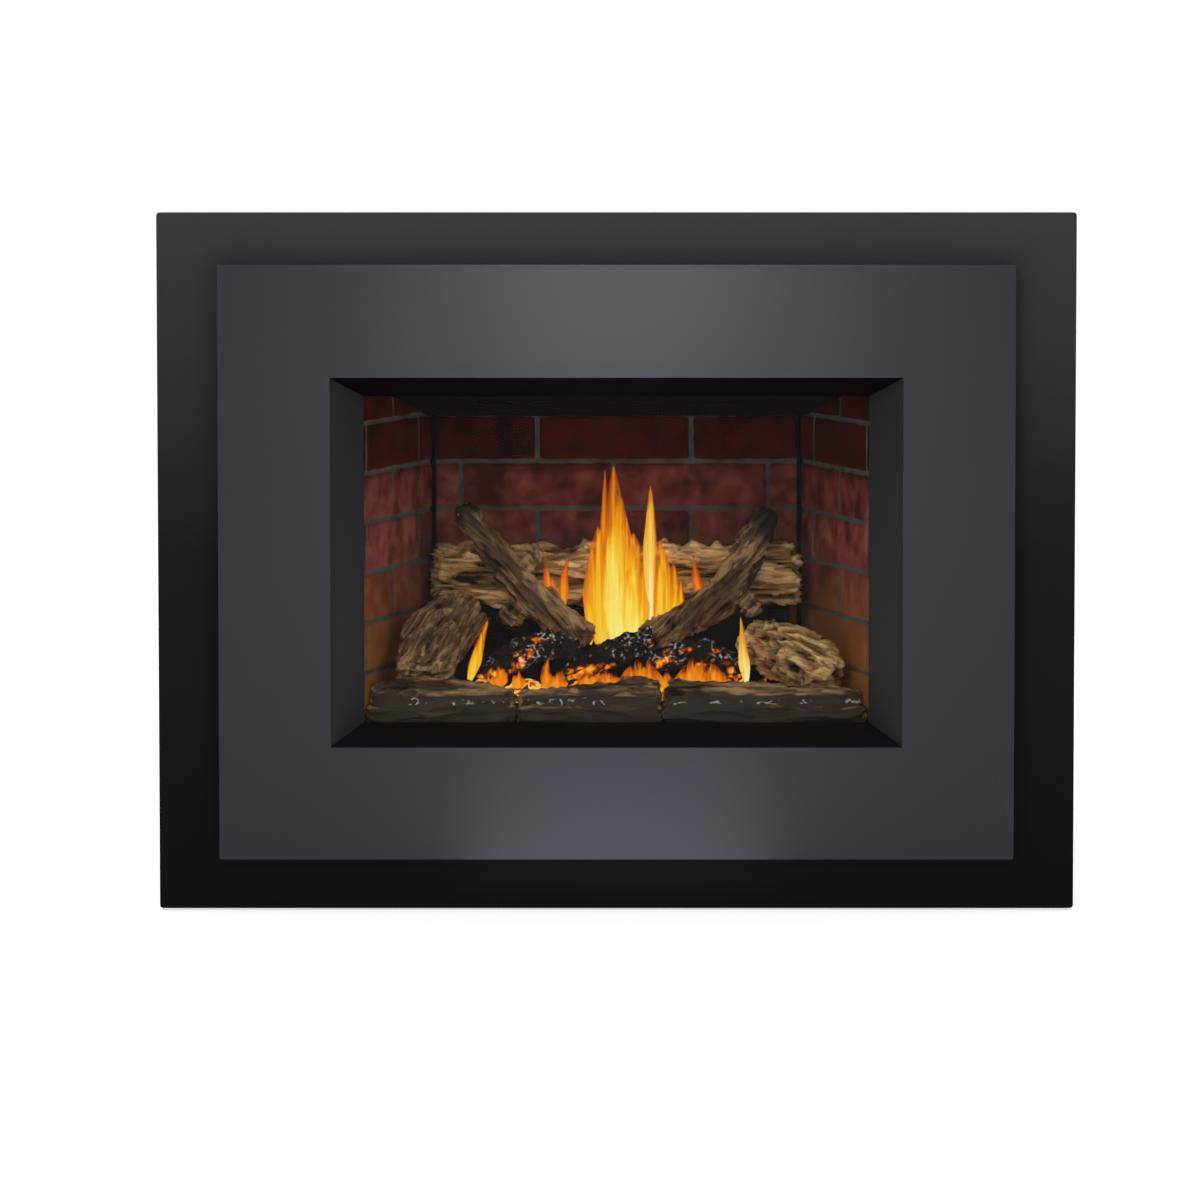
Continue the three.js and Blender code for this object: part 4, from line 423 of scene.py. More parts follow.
latch_steel, shader = new_material("latch_stainless")
place = add_node(latch_steel, "ShaderNodeTexCoord").outputs["Object"]
brushed = noise_at(latch_steel, place, (1200.0, 60.0, 1200.0), 3.0)
colour = ramp(latch_steel, brushed, [(0.2, byte_colour(150, 151, 152)), (0.8, byte_colour(186, 187, 188))])
latch_steel.node_tree.links.new(colour, shader.inputs["Base Color"])
rough = add_node(latch_steel, "ShaderNodeMapRange", [("Value", brushed)], To_Min=0.26, To_Max=0.42)
latch_steel.node_tree.links.new(rough.outputs[0], shader.inputs["Roughness"])
shader.inputs["Metallic"].default_value = 0.9
for side in ("left", "right"):
    folded_edges(f"door_latch_{side}", f"cam_latch_{side}", 0.0004, latch_steel)

# ------------------------------------------------------------------ firebox and baffle
# A five-sided steel box with a flanged mouth, and a top plate that carries the relief flaps. The baffle
# hangs under it as a sloping ceiling, its front edge turned up. All in matt stove black.
# Painted shade: the stove black darkens from the firebox floor towards its top and the baffle.
firebox_black = sprayed_paint(
    "firebox_black_paint", byte_colour(11, 11, 11), byte_colour(9, 9, 9), byte_colour(3, 3, 3), 0.8, 0.02)
folded_edges("firebox_shell", "firebox_shell_folded", 0.0006, firebox_black)
dress("firebox_top", firebox_black)
folded_edges("baffle", "baffle_folded", 0.0008, firebox_black)
for side in ("left", "right"):
    folded_edges(f"relief_flap_{side}", f"relief_flap_{side}_folded", 0.0004, zinc)

# ------------------------------------------------------------------ brick panels
# Three cast ceramic-fibre panels, one behind and one on each side, moulded and stained as old red brick
# with grey mortar. They stand on the firebox floor and hold each other up.
course = 0.059
course_line = 0.447
mortar_depth = 0.0024
back_brick = 0.1885
side_brick = 0.218
panel_voxel = 0.0024
panel_thickness = 0.018
back_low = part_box("brick_panel_back")[0]
right_low, right_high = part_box("brick_panel_right")
lean = math.atan2(0.0735, back_low.y - right_low.y)
front_half = right_high.x - panel_thickness * math.cos(lean)


def panel_place(co, side):
    """How far along the panel, and how deep under its bricks, a point lies; side is -1, 1 or 0 (back)."""
    if side == 0:
        return co.x - back_low.x, co.y - back_low.y
    out, back = side * co.x - front_half, co.y - right_low.y
    return back * math.cos(lean) - out * math.sin(lean), out * math.cos(lean) + back * math.sin(lean)


def cast_panel(node, name, side, width, offsets, material):
    """Casts a panel: brick faces roughened and chipped, each brick with its own tone, mortar held back."""
    piece = copy_of(node, name)
    remesh = piece.modifiers.new("fine_grid", "REMESH")
    remesh.mode = "VOXEL"
    remesh.voxel_size = panel_voxel
    apply_modifiers(piece)
    chips = bpy.data.textures.new(f"{name}_chips", "CLOUDS")
    chips.noise_scale, chips.noise_depth = 0.011, 3
    waves = bpy.data.textures.new(f"{name}_waves", "CLOUDS")
    waves.noise_scale = 0.05
    for texture, strength in ((chips, 0.0013), (waves, 0.0012)):
        rough_cast = piece.modifiers.new("rough_cast", "DISPLACE")
        rough_cast.texture = texture
        rough_cast.texture_coords = "GLOBAL"
        rough_cast.strength = strength
        rough_cast.mid_level = 0.75
    apply_modifiers(piece)
    mortar = piece.data.attributes.new("mortar", "FLOAT", "POINT")
    tone = piece.data.attributes.new("tone", "FLOAT", "POINT")
    for i, vertex in enumerate(piece.data.vertices):
        along, depth = panel_place(vertex.co, side)
        row = math.floor((vertex.co.z - course_line) / course)
        column = math.floor((along - offsets[row % 2]) / width)
        mortar.data[i].value = min(1.0, max(0.0, (depth - 0.0008) / mortar_depth))
        tone.data[i].value = (math.sin(row * 12.99 + column * 78.23 + side * 37.7) * 437.58) % 1.0
    only(piece)
    bpy.ops.object.shade_smooth_by_angle(angle=math.radians(50))
    piece.data.materials.append(material)
    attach(piece, "insert_body")
    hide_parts(node)


def weighed(material, value, share, base):
    """value * share + base, where value and base are sources or numbers."""
    node = add_node(material, "ShaderNodeMath", operation="MULTIPLY_ADD")
    for index, term in enumerate((value, share, base)):
        if isinstance(term, bpy.types.NodeSocket):
            material.node_tree.links.new(term, node.inputs[index])
        else:
            node.inputs[index].default_value = term
    return node.outputs[0]


old_brick, shader = new_material("stained_fibre_brick")
place = add_node(old_brick, "ShaderNodeTexCoord").outputs["Object"]
tone = add_node(old_brick, "ShaderNodeAttribute", attribute_name="tone").outputs["Fac"]
joint = add_node(old_brick, "ShaderNodeAttribute", attribute_name="mortar").outputs["Fac"]
blotch = noise_at(old_brick, place, 30.0, 8.0, 0.66)
speckle = noise_at(old_brick, place, 320.0, 3.0, 0.7)
height = add_node(old_brick, "ShaderNodeSeparateXYZ", [("Vector", place)]).outputs["Z"]
stain = weighed(old_brick, blotch, 2.2, weighed(old_brick, tone, 0.34, -0.86))
red = ramp(old_brick, stain, [
    (0.05, byte_colour(66, 26, 25)), (0.4, byte_colour(112, 50, 45)), (0.85, byte_colour(152, 86, 72)),
])


def mix_colours(material, share, under, over, kind="MIX"):
    """Lays one colour over another by a share, which is a number or a source."""
    node = add_node(material, "ShaderNodeMix", data_type="RGBA", blend_type=kind)
    for index, value in ((0, share), (6, under), (7, over)):
        if isinstance(value, bpy.types.NodeSocket):
            material.node_tree.links.new(value, node.inputs[index])
        else:
            node.inputs[index].default_value = value
    return node.outputs[2]


def fade(material, source, low, high, to_low, to_high):
    """A smooth change from to_low at `low` to to_high at `high`."""
    node = add_node(material, "ShaderNodeMapRange", [("Value", source)], interpolation_type="SMOOTHSTEP",
                    From_Min=low, From_Max=high, To_Min=to_low, To_Max=to_high)
    return node.outputs["Result"]


# Painted shade darkens the top course to a deep red under the baffle, painted firelight warms the lower
# courses to ochre, and the mortar is grey with a green cast.
darkening = fade(old_brick, height, 0.485, 0.515, 0.0, 0.97)
top_course_shaded = mix_colours(old_brick, darkening, red, byte_colour(130, 6, 8), "MULTIPLY")
firelight_glow = fade(old_brick, height, 0.24, 0.43, 0.8, 0.0)
firelit = mix_colours(old_brick, firelight_glow, top_course_shaded, byte_colour(152, 98, 32))
mortar_grey = ramp(old_brick, blotch, [(0.3, byte_colour(58, 60, 56)), (0.7, byte_colour(94, 95, 89))])
seam = weighed(old_brick, blotch, 0.9, weighed(old_brick, joint, 1.0, -0.45))
pointed = mix_colours(old_brick, fade(old_brick, seam, 0.35, 0.6, 0.0, 1.0), firelit, mortar_grey)
flecks = fade(old_brick, speckle, 0.62, 0.8, 0.0, 0.35)
flecked = mix_colours(old_brick, flecks, pointed, byte_colour(40, 22, 20))
old_brick.node_tree.links.new(flecked, shader.inputs["Base Color"])
shader.inputs["Roughness"].default_value = 0.92
shader.inputs["Specular IOR Level"].default_value = 0.03
bump_into(old_brick, shader, speckle, 0.35, 0.0007)

cast_panel("brick_panel_back", "cast_back_panel", 0, back_brick, (0.031, 0.1255), old_brick)
cast_panel("brick_panel_left", "cast_left_panel", -1, side_brick, (0.131, 0.022), old_brick)
cast_panel("brick_panel_right", "cast_right_panel", 1, side_brick, (0.131, 0.022), old_brick)

# ------------------------------------------------------------------ logs
# Hand-painted logs, cast of ceramic fibre: a split rear log on its shelf, two branches leaning on it, one
# at each side, three along the glass and three charred ones between. Grain runs along each of them.
log_voxel = 0.0022


def cast_log(node, name, start, end, material, ridges=0.006, blocks=0.0, scorch=(), faced=None, seed=0):
    """Casts a log: bark ridges (and charred blocks) stand out along the line from start to end.

    start and end are corners of the CAD piece's box, as shares of its width, depth and height. scorch
    lists (place along the log, reach) of its burnt stretches, both as shares of its length. faced is the
    height of the line of ash along a charred front face.
    """
    low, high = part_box(node)
    corner = [Vector(low[i] + share[i] * (high[i] - low[i]) for i in range(3)) for share in (start, end)]
    along = corner[1] - corner[0]
    piece = copy_of(node, name)
    remesh = piece.modifiers.new("fine_grid", "REMESH")
    remesh.mode = "VOXEL"
    remesh.voxel_size = log_voxel
    apply_modifiers(piece)
    before = [vertex.co.copy() for vertex in piece.data.vertices]
    normals = [vertex.normal.copy() for vertex in piece.data.vertices]
    grain = bpy.data.objects.new(f"{name}_grain", None)
    bpy.context.scene.collection.objects.link(grain)
    grain.location = corner[0] + Vector((0.37, 0.61, 0.23)) * seed
    grain.rotation_euler = along.to_track_quat("X", "Z").to_euler()
    grain.scale = (0.060, 0.013, 0.009)
    lumps = bpy.data.textures.new(f"{name}_lumps", "CLOUDS")
    lumps.noise_scale, lumps.noise_depth = 0.035, 2
    splits = bpy.data.textures.new(f"{name}_splits", "MUSGRAVE")
    splits.musgrave_type = "RIDGED_MULTIFRACTAL"
    splits.noise_scale, splits.octaves, splits.dimension_max = 1.0, 3.0, 0.9
    flakes = bpy.data.textures.new(f"{name}_flakes", "VORONOI")
    flakes.noise_scale, flakes.weight_1, flakes.weight_2 = 0.014, -1.0, 1.0
    layers = [
        (lumps, "GLOBAL", 0.008, 0.6), (splits, "OBJECT", ridges, 0.75), (flakes, "GLOBAL", blocks, 0.6),
    ]
    for texture, coordinates, strength, level in layers:
        if not strength:
            continue
        push = piece.modifiers.new("bark", "DISPLACE")
        push.texture = texture
        push.texture_coords = coordinates
        if coordinates == "OBJECT":
            push.texture_coords_object = grain
        push.strength = strength
        push.mid_level = level
    bpy.context.view_layer.update()
    apply_modifiers(piece)
    relief = piece.data.attributes.new("relief", "FLOAT", "POINT")
    burnt = piece.data.attributes.new("burnt", "FLOAT", "POINT")
    ash = piece.data.attributes.new("ash", "FLOAT", "POINT")
    lengthwise = piece.data.attributes.new("grain", "FLOAT_VECTOR", "POINT")
    turn = along.to_track_quat("X", "Z").inverted()
    for i, vertex in enumerate(piece.data.vertices):
        local = turn @ (vertex.co - corner[0])
        share = local.x / along.length
        relief.data[i].value = 0.5 + (vertex.co - before[i]).dot(normals[i]) / 0.012
        burnt.data[i].value = max([0.0] + [1.0 - abs(share - at) / reach for at, reach in scorch])
        ash.data[i].value = burnt.data[i].value
        if faced:
            front = min(1.0, max(0.0, -2.0 * normals[i].y - 0.6))
            burnt.data[i].value = front * min(1.0, max(0.0, (faced + 0.010 - vertex.co.z) / 0.006))
            ash.data[i].value = front * max(0.0, 1.25 - abs(vertex.co.z - faced) / 0.009)
        lengthwise.data[i].vector = local + Vector((seed, 0, 0))
    bpy.data.objects.remove(grain)
    only(piece)
    bpy.ops.object.shade_smooth()
    piece.data.materials.append(material)
    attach(piece, "insert_body")
    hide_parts(node)


def painted_bark(name, dark, middle, light, char=0.0, ash=0.0, glow=0.0, darkening=byte_colour(42, 37, 33)):
    """Bark paint: painted shade darkens the splits against tan ridges; burnt stretches are sooty, with crumbs
    of ash.

    char and ash are added to the piece's own burnt and ash attributes, and glow is how much of it smoulders.
    """
    material, shader = new_material(name)
    grain = add_node(material, "ShaderNodeAttribute", attribute_name="grain").outputs["Vector"]
    relief = add_node(material, "ShaderNodeAttribute", attribute_name="relief").outputs["Fac"]
    burnt = add_node(material, "ShaderNodeAttribute", attribute_name="burnt").outputs["Fac"]
    ashen = add_node(material, "ShaderNodeAttribute", attribute_name="ash").outputs["Fac"]
    fibres = noise_at(material, grain, (17.0, 250.0, 250.0), 6.0, 0.68)
    plates = noise_at(material, grain, (14.0, 95.0, 95.0), 4.0, 0.6)
    patches = noise_at(material, grain, (9.0, 26.0, 26.0), 3.0, 0.5)
    tone = weighed(material, fade(material, fibres, 0.38, 0.62, 0.0, 1.0), 0.24, 0.0)
    tone = weighed(material, fade(material, plates, 0.40, 0.58, 0.0, 1.0), 0.30, tone)
    tone = weighed(material, fade(material, patches, 0.34, 0.66, 0.0, 1.0), 0.28, tone)
    # Painted shade: the relief term darkens the sunken splits against the raised ridges.
    tone = weighed(material, fade(material, relief, -0.1, 0.6, 0.0, 1.0), 0.34, tone)
    wood = ramp(material, tone, [(0.26, dark), (0.66, middle), (1.02, light)])
    edge = weighed(material, patches, 0.8, weighed(material, burnt, 1.0, char))
    charred = mix_colours(material, fade(material, edge, 0.62, 0.95, 0.0, 0.92), wood, darkening)
    cells = add_node(
        material, "ShaderNodeTexVoronoi", [("Vector", grain)], feature="DISTANCE_TO_EDGE", Scale=100.0)
    outlines = fade(material, cells.outputs["Distance"], 0.06, 0.15, 1.0, 0.0)
    crumbs = fade(material, noise_at(material, grain, 170.0, 2.0, 0.6), 0.47, 0.55, 0.0, 1.0)
    dusting = noise_at(material, grain, 30.0, 4.0, 0.7)
    spots = weighed(material, ashen, 0.34, weighed(material, dusting, 1.0, ash))
    place = add_node(material, "ShaderNodeTexCoord").outputs["Object"]
    height = add_node(material, "ShaderNodeSeparateXYZ", [("Vector", place)]).outputs["Z"]
    if glow:
        spots = weighed(material, fade(material, height, 0.262, 0.288, -0.12, 0.05), 1.0, spots)
    dusty = fade(material, spots, 0.84, 0.92, 0.0, 1.0)
    flecks = weighed(material, weighed(material, outlines, crumbs, 0.0), dusty, 0.0)
    finished = mix_colours(material, flecks, charred, byte_colour(206, 206, 204))
    material.node_tree.links.new(finished, shader.inputs["Base Color"])
    shader.inputs["Roughness"].default_value = 0.93
    shader.inputs["Specular IOR Level"].default_value = 0.05
    if glow:
        deep = weighed(material, relief, -0.5, noise_at(material, place, 105.0, 3.0, 0.6))
        hot = weighed(material, fade(material, height, 0.258, 0.290, 1.0, -0.6), glow, deep)
        ember = ramp(material, hot, [
            (0.50, (0, 0, 0, 1)), (0.58, byte_colour(170, 66, 0)), (0.65, byte_colour(238, 134, 8)),
            (0.76, byte_colour(255, 190, 50)),
        ])
        material.node_tree.links.new(ember, shader.inputs["Emission Color"])
        shader.inputs["Emission Strength"].default_value = 1.0
    bump_into(material, shader, tone, 0.9, 0.003)
    return material


bark = painted_bark(
    "split_bark", byte_colour(36, 25, 15), byte_colour(172, 130, 80), byte_colour(246, 206, 144))
branch_bark = painted_bark(
    "branch_bark", byte_colour(28, 20, 15), byte_colour(108, 82, 56), byte_colour(186, 152, 108), ash=0.05)
hearth_bark = painted_bark(
    "hearth_bark", byte_colour(26, 20, 16), byte_colour(94, 73, 52), byte_colour(172, 138, 96),
    darkening=byte_colour(62, 56, 50))
charcoal_crust = painted_bark(
    "charred_crust", byte_colour(10, 9, 9), byte_colour(30, 26, 24), byte_colour(62, 54, 48),
    char=0.7, ash=0.34, glow=0.14, darkening=byte_colour(32, 28, 26))

cast_log("rear_log", "split_rear_log", (0, 0.5, 0.5), (1, 0.5, 0.5), bark, 0.011, seed=1)
cast_log("left_side_log", "left_side_casting", (0, 0.1, 0.1), (1, 0.9, 0.9), branch_bark, 0.005, seed=2)
cast_log("right_side_log", "right_side_casting", (0, 0.4, 0.75), (1, 0.6, 0.35), bark, 0.007, seed=3)
cast_log("left_branch", "left_branch_casting", (0, 1, 1), (1, 0, 0), branch_bark, 0.006,
         scorch=[(0.0, 0.22)], seed=4)
cast_log("right_branch", "right_branch_casting", (1, 1, 1), (0, 0, 0), branch_bark, 0.006,
         scorch=[(0.0, 0.30), (1.0, 0.16)], seed=5)
for side, seed in (("left", 6), ("centre", 7), ("right", 8)):
    cast_log(f"front_log_{side}", f"hearth_log_{side}", (0, 0.5, 0.5), (1, 0.5, 0.5), hearth_bark,
             0.006, 0.002, faced=0.236, seed=seed)
for side, seed in (("left", 9), ("right", 10), ("centre", 11)):
    cast_log(f"ember_log_{side}", f"charred_log_{side}", (0, 0.2, 0.2), (1, 0.8, 0.8), charcoal_crust,
             0.006, 0.007, seed=seed)

# ------------------------------------------------------------------ burner, shelf and pilot
# The burner is a folded steel pan with two rows of ports, fed by a mixing tube through the floor. The log
# shelf stands behind it, and the pilot with its spark electrode and flame sensor on the right.
dress("burner_pan", firebox_black)
folded_edges("log_shelf", "log_shelf_folded", 0.0008, firebox_black)
dress("mixing_tube", zinc)
dress("air_shutter", zinc)
dress("pilot_assembly", latch_steel)

# ------------------------------------------------------------------ ember bed
# Mineral-wool embers heaped over the ports. They glow orange where gas burns through them and are
# ash-grey on top.
live_embers, shader = new_material("live_embers")
place = add_node(live_embers, "ShaderNodeTexCoord").outputs["Object"]
cracks = add_node(
    live_embers, "ShaderNodeTexVoronoi", [("Vector", place)], feature="DISTANCE_TO_EDGE", Scale=95.0)
heat = noise_at(live_embers, place, 46.0, 4.0, 0.65)
crust = ramp(live_embers, noise_at(live_embers, place, 240.0, 4.0, 0.7), [
    (0.35, byte_colour(24, 20, 18)), (0.55, byte_colour(58, 50, 45)), (0.72, byte_colour(190, 184, 176)),
])
live_embers.node_tree.links.new(crust, shader.inputs["Base Color"])
shader.inputs["Roughness"].default_value = 0.95
crack_heat = fade(live_embers, cracks.outputs["Distance"], 0.02, 0.22, 0.45, 0.0)
total_heat = add_node(live_embers, "ShaderNodeMath", [(0, heat), (1, crack_heat)], operation="ADD")
fire_colour = ramp(live_embers, total_heat.outputs[0], [
    (0.42, byte_colour(20, 6, 2)), (0.55, byte_colour(176, 62, 8)), (0.68, byte_colour(240, 130, 22)),
    (0.9, byte_colour(255, 196, 70)),
])
live_embers.node_tree.links.new(fire_colour, shader.inputs["Emission Color"])
shader.inputs["Emission Strength"].default_value = 1.0
bump_into(live_embers, shader, crust, 0.5, 0.002)

ember_heap = copy_of("ember_bed", "ember_heap")
heap_grid = ember_heap.modifiers.new("fine_grid", "REMESH")
heap_grid.mode = "VOXEL"
heap_grid.voxel_size = 0.0024
lump_texture = bpy.data.textures.new("ember_lumps", "VORONOI")
lump_texture.noise_scale = 0.014
heaped = ember_heap.modifiers.new("lumps", "DISPLACE")
heaped.texture = lump_texture
heaped.texture_coords = "GLOBAL"
heaped.strength, heaped.mid_level = -0.008, 0.35
apply_modifiers(ember_heap)
only(ember_heap)
bpy.ops.object.shade_smooth()
ember_heap.data.materials.append(live_embers)
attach(ember_heap, "insert_body")
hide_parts("ember_bed")

# ------------------------------------------------------------------ flames
# Gas flames as thin closed tongues: pale yellow at the root, orange at the tip, streaked upwards. They
# rise from the ports behind the branches, and low ones lick out between the embers and the front logs.
def flame_gas(name, colours, dense, thin, ragged):
    """Burning gas: its colours from root to tip, its density there, and how torn its tip is."""
    material, shader = new_material(name)
    place = add_node(material, "ShaderNodeTexCoord").outputs["Object"]
    rise = add_node(material, "ShaderNodeAttribute", attribute_name="rise").outputs["Fac"]
    side = add_node(material, "ShaderNodeAttribute", attribute_name="side").outputs["Fac"]
    streaks = noise_at(material, place, (230.0, 60.0, 7.0), 3.0, 0.65)
    cooled = weighed(material, rise, 0.75, weighed(material, streaks, 1.5, -0.35))
    tone = fade(material, weighed(material, side, 0.4, cooled), 0.35, 1.6, 0.0, 1.0)
    colour = ramp(material, tone, list(zip((0.0, 0.35, 0.7, 1.0), colours)))
    material.node_tree.links.new(colour, shader.inputs["Emission Color"])
    shader.inputs["Base Color"].default_value = (0, 0, 0, 1)
    shader.inputs["Emission Strength"].default_value = 1.0
    shader.inputs["Specular IOR Level"].default_value = 0.0
    shader.inputs["Roughness"].default_value = 1.0
    wisps = weighed(material, rise, -ragged, noise_at(material, place, (200.0, 50.0, 36.0), 3.0, 0.6))
    whole = fade(material, wisps, 0.08, 0.22, 0.0, 1.0)
    body = weighed(material, fade(material, tone, 0.35, 1.0, dense, thin), whole, 0.0)
    material.node_tree.links.new(body, shader.inputs["Alpha"])
    return material


def flame_tongue(foot, height, width, lean=0.0, sway=0.0, turn=0.0, waist=0.3):
    """One tongue: a round body drawn up to a point, flattened front to back, leaning to one side."""
    bpy.ops.mesh.primitive_uv_sphere_add(segments=20, ring_count=28, radius=1.0, location=(0, 0, 0))
    tongue = bpy.context.active_object
    rise = tongue.data.attributes.new("rise", "FLOAT", "POINT")
    side = tongue.data.attributes.new("side", "FLOAT", "POINT")
    for i, vertex in enumerate(tongue.data.vertices):
        share = (vertex.co.z + 1) / 2
        ring = math.sqrt(max(0.0, 1 - vertex.co.z ** 2)) or 1.0
        across, deep = vertex.co.x / ring, vertex.co.y / ring
        belly = (share / waist) ** 0.5 if share < waist else ((1 - share) / (1 - waist)) ** 0.75
        bend = lean * share + sway * math.sin(share * 6.5 + turn) * share
        rise.data[i].value = share
        side.data[i].value = abs(across)
        vertex.co = Vector((
            foot[0] + 0.5 * across * belly * width + bend,
            foot[1] + 0.5 * deep * belly * min(0.55 * width, 0.02) + 0.004 * math.sin(share * 5 + turn),
            foot[2] + share * height,
        ))
    bpy.ops.object.shade_smooth()
    return tongue


def fire(name, tongues, material):
    """Joins tongues, each given as flame_tongue takes it, into one piece of fire of the insert's own."""
    parts = [flame_tongue(*tongue) for tongue in tongues]
    bpy.ops.object.select_all(action="DESELECT")
    for part in parts:
        part.select_set(True)
    bpy.context.view_layer.objects.active = parts[0]
    bpy.ops.object.join()
    whole = parts[0]
    whole.name = name
    whole.data.materials.append(material)
    whole.visible_diffuse = False
    whole.visible_glossy = False
    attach(whole, "insert_body")


def heat_colours(*screen_colours):
    """The colours of a flame from its root to its tip."""
    return [byte_colour(*colour) for colour in screen_colours]


faceplate_front = faceplate_low.y
core = heat_colours((255, 244, 140), (255, 228, 92), (254, 200, 46), (242, 154, 14))
gold = heat_colours((255, 208, 66), (250, 178, 22), (234, 132, 4), (186, 70, 0))
white_gold = heat_colours((255, 246, 206), (255, 214, 96), (248, 170, 30), (226, 110, 10))
deep_orange = heat_colours((250, 160, 26), (236, 124, 8), (200, 88, 2), (130, 46, 0))
orange = heat_colours((250, 158, 34), (232, 122, 16), (200, 80, 8), (130, 40, 4))
tall_gas = flame_gas("tall_flame_gas", gold, 0.95, 0.35, 0.3)
bright_gas = flame_gas("bright_flame_gas", white_gold, 0.95, 0.3, 0.25)
core_gas = flame_gas("core_flame_gas", core, 0.9, 0.0, 0.2)
rear_gas = flame_gas("rear_flame_gas", orange, 0.9, 0.3, 0.4)
low_gas = flame_gas("low_flame_gas", deep_orange, 0.95, 0.3, 0.6)
main_y = faceplate_front + 0.240
fire("main_flame", [
    ((0.016, main_y, 0.280), 0.227, 0.042, -0.021, 0.002, 0.5, 0.48),
    ((-0.012, main_y + 0.005, 0.282), 0.221, 0.013, -0.003, 0.001, 1.4, 0.60),
    ((-0.016, main_y + 0.003, 0.280), 0.158, 0.044, -0.007, 0.002, 0.9, 0.42),
    ((-0.031, main_y + 0.006, 0.290), 0.120, 0.018, 0.002, 0.002, 2.7, 0.45),
    ((0.024, main_y + 0.001, 0.276), 0.150, 0.054, -0.006, 0.003, 1.9, 0.42),
    ((0.055, main_y + 0.004, 0.290), 0.127, 0.034, -0.003, 0.003, 3.0, 0.45),
    ((0.068, main_y + 0.002, 0.290), 0.100, 0.024, 0.002, 0.002, 4.1, 0.45),
    ((0.079, main_y + 0.005, 0.300), 0.070, 0.014, -0.002, 0.001, 0.6, 0.45),
], tall_gas)
fire("bright_flame", [
    ((0.041, main_y - 0.004, 0.290), 0.194, 0.017, -0.001, 0.001, 2.2, 0.62),
], bright_gas)
fire("flame_core", [
    ((0.000, main_y - 0.012, 0.286), 0.160, 0.034, -0.004, 0.002, 0.3, 0.42),
    ((0.018, main_y - 0.011, 0.288), 0.104, 0.030, 0.000, 0.002, 1.3, 0.42),
], core_gas)
back_y = faceplate_front + 0.268
fire("left_rear_flame", [
    ((-0.078, back_y, 0.334), 0.060, 0.016, -0.008, 0.002, 0.2, 0.4),
    ((-0.066, back_y, 0.328), 0.070, 0.013, 0.006, 0.002, 1.2, 0.4),
], rear_gas)
fire("right_rear_flame", [((0.104, back_y, 0.338), 0.062, 0.014, -0.014, 0.002, 2.2, 0.4)], rear_gas)
side_y = faceplate_front + 0.158
fire("left_front_flame", [((-0.176, side_y, 0.252), 0.080, 0.015, 0.024, 0.001, 0.4, 0.30)], tall_gas)
fire("right_front_flame", [((0.155, side_y, 0.250), 0.082, 0.014, -0.008, 0.001, 2.4, 0.30)], bright_gas)
low_y = faceplate_front + 0.150
# Each low flame's place across, how far behind low_y it stands, its height and its width.
low_fires = [
    (-0.142, 0.000, 0.036, 0.022), (-0.118, 0.005, 0.024, 0.018), (-0.083, -0.002, 0.046, 0.015),
    (-0.070, 0.004, 0.024, 0.030), (-0.032, -0.002, 0.034, 0.030), (-0.008, 0.003, 0.026, 0.032),
    (0.030, -0.003, 0.042, 0.056), (0.058, 0.004, 0.026, 0.032), (0.090, -0.002, 0.046, 0.046),
    (0.114, 0.003, 0.036, 0.036), (0.140, 0.002, 0.018, 0.022), (0.172, 0.004, 0.018, 0.014),
]
fire("low_flames", [
    ((x, low_y + behind, 0.246), tall, wide, 0.004 * math.sin(x * 300), 0.003, x * 50, 0.25)
    for x, behind, tall, wide in low_fires
], low_gas)

# The fire's own light on the logs and bricks.
fire_light_data = bpy.data.lights.new("fire_light", "POINT")
fire_light_data.energy = 0.15
fire_light_data.color = (1.0, 0.55, 0.2)
fire_light_data.shadow_soft_size = 0.04
fire_light = bpy.data.objects.new("fire_light", fire_light_data)
bpy.context.scene.collection.objects.link(fire_light)
fire_light.location = (0.02, main_y, 0.40)
fire_light.visible_glossy = False

# ------------------------------------------------------------------ casing, collars and feet
# A galvanised box of sheet 1.5 mm thick, screwed together, that slides into the fireplace. Two flue
# collars rise from its top, and four levelling feet carry it.
folded_edges("casing_wrap", "casing_wrap_folded", 0.0005, zinc)
dress("casing_base", zinc)
dress("casing_top", zinc)
for which in ("exhaust", "intake"):
    dress(f"{which}_collar", zinc)
folded_edges("firebox_stand", "firebox_stand_folded", 0.0005, zinc)
for number in (1, 2, 3, 4):
    dress(f"levelling_foot_{number}", latch_steel)

casing_low, casing_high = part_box("casing_wrap")
top_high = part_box("casing_top")[1]
screw_radius = 0.0042
screw_margin = 0.012


def hex_screws(name, places, facing):
    """Hex washer-head sheet screws, all facing one way: modelled once and copied to each place."""
    bpy.ops.mesh.primitive_cylinder_add(
        vertices=16, radius=screw_radius * 1.35, depth=0.0009, location=(0, 0, 0.00045))
    first = bpy.context.active_object
    bpy.ops.mesh.primitive_cylinder_add(
        vertices=6, radius=screw_radius, depth=0.0034, location=(0, 0, 0.0026))
    head = bpy.context.active_object
    only(head)
    first.select_set(True)
    bpy.context.view_layer.objects.active = first
    bpy.ops.object.join()
    turn = Vector(facing).to_track_quat("Z", "Y").to_matrix().to_4x4()
    copies = []
    for place in places:
        screw = first.copy()
        screw.data = first.data.copy()
        bpy.context.scene.collection.objects.link(screw)
        turn.translation = place
        screw.data.transform(turn)
        copies.append(screw)
    bpy.data.objects.remove(first)
    bpy.ops.object.select_all(action="DESELECT")
    for screw in copies:
        screw.select_set(True)
    bpy.context.view_layer.objects.active = copies[0]
    bpy.ops.object.join()
    screws = copies[0]
    screws.name = name
    edge = screws.modifiers.new("worn_edge", "BEVEL")
    edge.width, edge.segments = 0.0003, 1
    apply_modifiers(screws)
    screws.data.materials.append(latch_steel)
    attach(screws, "insert_body")


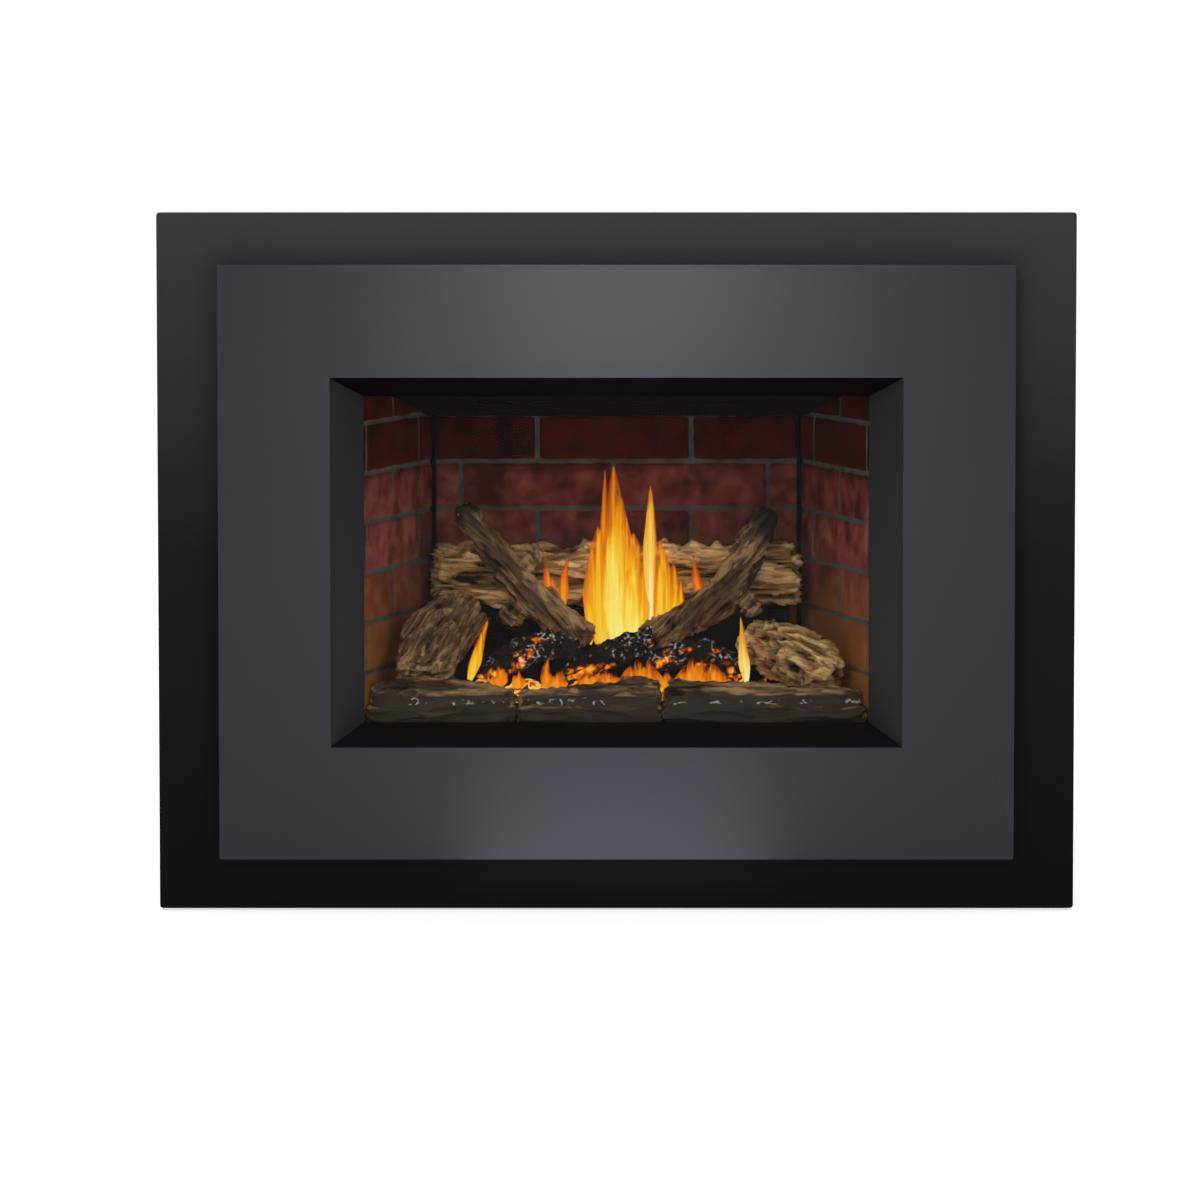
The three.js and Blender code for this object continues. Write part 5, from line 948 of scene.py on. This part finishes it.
side_screws = [
    (y, z) for y in (casing_low.y + 0.03, 0.01, casing_high.y - 0.03)
    for z in (casing_low.z + screw_margin, casing_high.z - screw_margin)
]
hex_screws("casing_screws_left", [(casing_low.x, y, z) for y, z in side_screws], (-1, 0, 0))
hex_screws("casing_screws_right", [(casing_high.x, y, z) for y, z in side_screws], (1, 0, 0))
hex_screws("casing_screws_back", [
    (x, casing_high.y, z) for x in (-0.33, -0.11, 0.11, 0.33)
    for z in (casing_low.z + screw_margin, casing_high.z - screw_margin)
], (0, 1, 0))
collar_low, collar_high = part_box("exhaust_collar")
flange_top = top_high.z + 0.0023
hex_screws("collar_screws", [
    (side * x, y, flange_top) for side in (-1, 1) for x in (0.009, 0.108)
    for y in (collar_low.y + 0.009, collar_high.y - 0.009)
], (0, 0, 1))

# ------------------------------------------------------------------ gas train and controls
# Under the door: a cast-aluminium valve with two knobs, brass pipework with a shut-off cock, a speed knob
# for the blower, the igniter button and the rocker switch, all on one galvanised bracket.
brass, shader = new_material("yellow_brass")
place = add_node(brass, "ShaderNodeTexCoord").outputs["Object"]
tarnish = noise_at(brass, place, 60.0, 5.0, 0.6)
colour = ramp(brass, tarnish, [(0.3, byte_colour(150, 118, 62)), (0.7, byte_colour(190, 158, 92))])
brass.node_tree.links.new(colour, shader.inputs["Base Color"])
rough = add_node(brass, "ShaderNodeMapRange", [("Value", tarnish)], To_Min=0.24, To_Max=0.44)
brass.node_tree.links.new(rough.outputs[0], shader.inputs["Roughness"])
shader.inputs["Metallic"].default_value = 0.95
for node in ("gas_supply_line", "manifold_tube"):
    dress(node, brass)
folded_edges("shutoff_handle", "shutoff_lever", 0.0008, brass)

cast_alloy, shader = new_material("die_cast_alloy")
place = add_node(cast_alloy, "ShaderNodeTexCoord").outputs["Object"]
skin = noise_at(cast_alloy, place, 700.0, 3.0)
colour = ramp(cast_alloy, noise_at(cast_alloy, place, 40.0, 4.0), [
    (0.3, byte_colour(128, 130, 132)), (0.7, byte_colour(158, 160, 162)),
])
cast_alloy.node_tree.links.new(colour, shader.inputs["Base Color"])
shader.inputs["Metallic"].default_value = 0.8
shader.inputs["Roughness"].default_value = 0.5
bump_into(cast_alloy, shader, skin, 0.3, 0.0003)
folded_edges("gas_valve", "gas_valve_casting", 0.0012, cast_alloy)
dress("control_bracket", zinc)


def moulded_plastic(name, dark, light, roughness):
    """Injection-moulded plastic with a faint spark-eroded grain."""
    material, shader = new_material(name)
    place = add_node(material, "ShaderNodeTexCoord").outputs["Object"]
    grain = noise_at(material, place, 1400.0, 2.0)
    colour = ramp(material, grain, [(0.3, dark), (0.7, light)])
    material.node_tree.links.new(colour, shader.inputs["Base Color"])
    shader.inputs["Roughness"].default_value = roughness
    bump_into(material, shader, grain, 0.15, 0.0002)
    return material


black_plastic = moulded_plastic("moulded_black", byte_colour(20, 20, 21), byte_colour(32, 32, 33), 0.45)
red_plastic = moulded_plastic("moulded_red", byte_colour(140, 22, 18), byte_colour(162, 30, 24), 0.32)
for knob in ("pilot_knob", "flame_knob", "speed_knob"):
    folded_edges(knob, f"{knob}_moulding", 0.0005, black_plastic)
folded_edges("igniter_button", "igniter_cap", 0.0005, red_plastic)
folded_edges("rocker_switch", "rocker_paddle", 0.0005, red_plastic)

# ------------------------------------------------------------------ blower
# A squirrel-cage blower in a scroll housing behind the valve, with its shaded-pole motor on the right.
# It blows room air up behind the firebox.
folded_edges("blower_housing", "blower_scroll", 0.0004, zinc)
dress("blower_wheel", zinc)
# Painted light: the enamel lightens from its foot towards its head.
motor_paint = sprayed_paint(
    "motor_enamel", byte_colour(20, 21, 22), byte_colour(26, 27, 28), byte_colour(34, 35, 36), 0.42, 0.4)
folded_edges("blower_motor", "motor_shell", 0.0012, motor_paint)
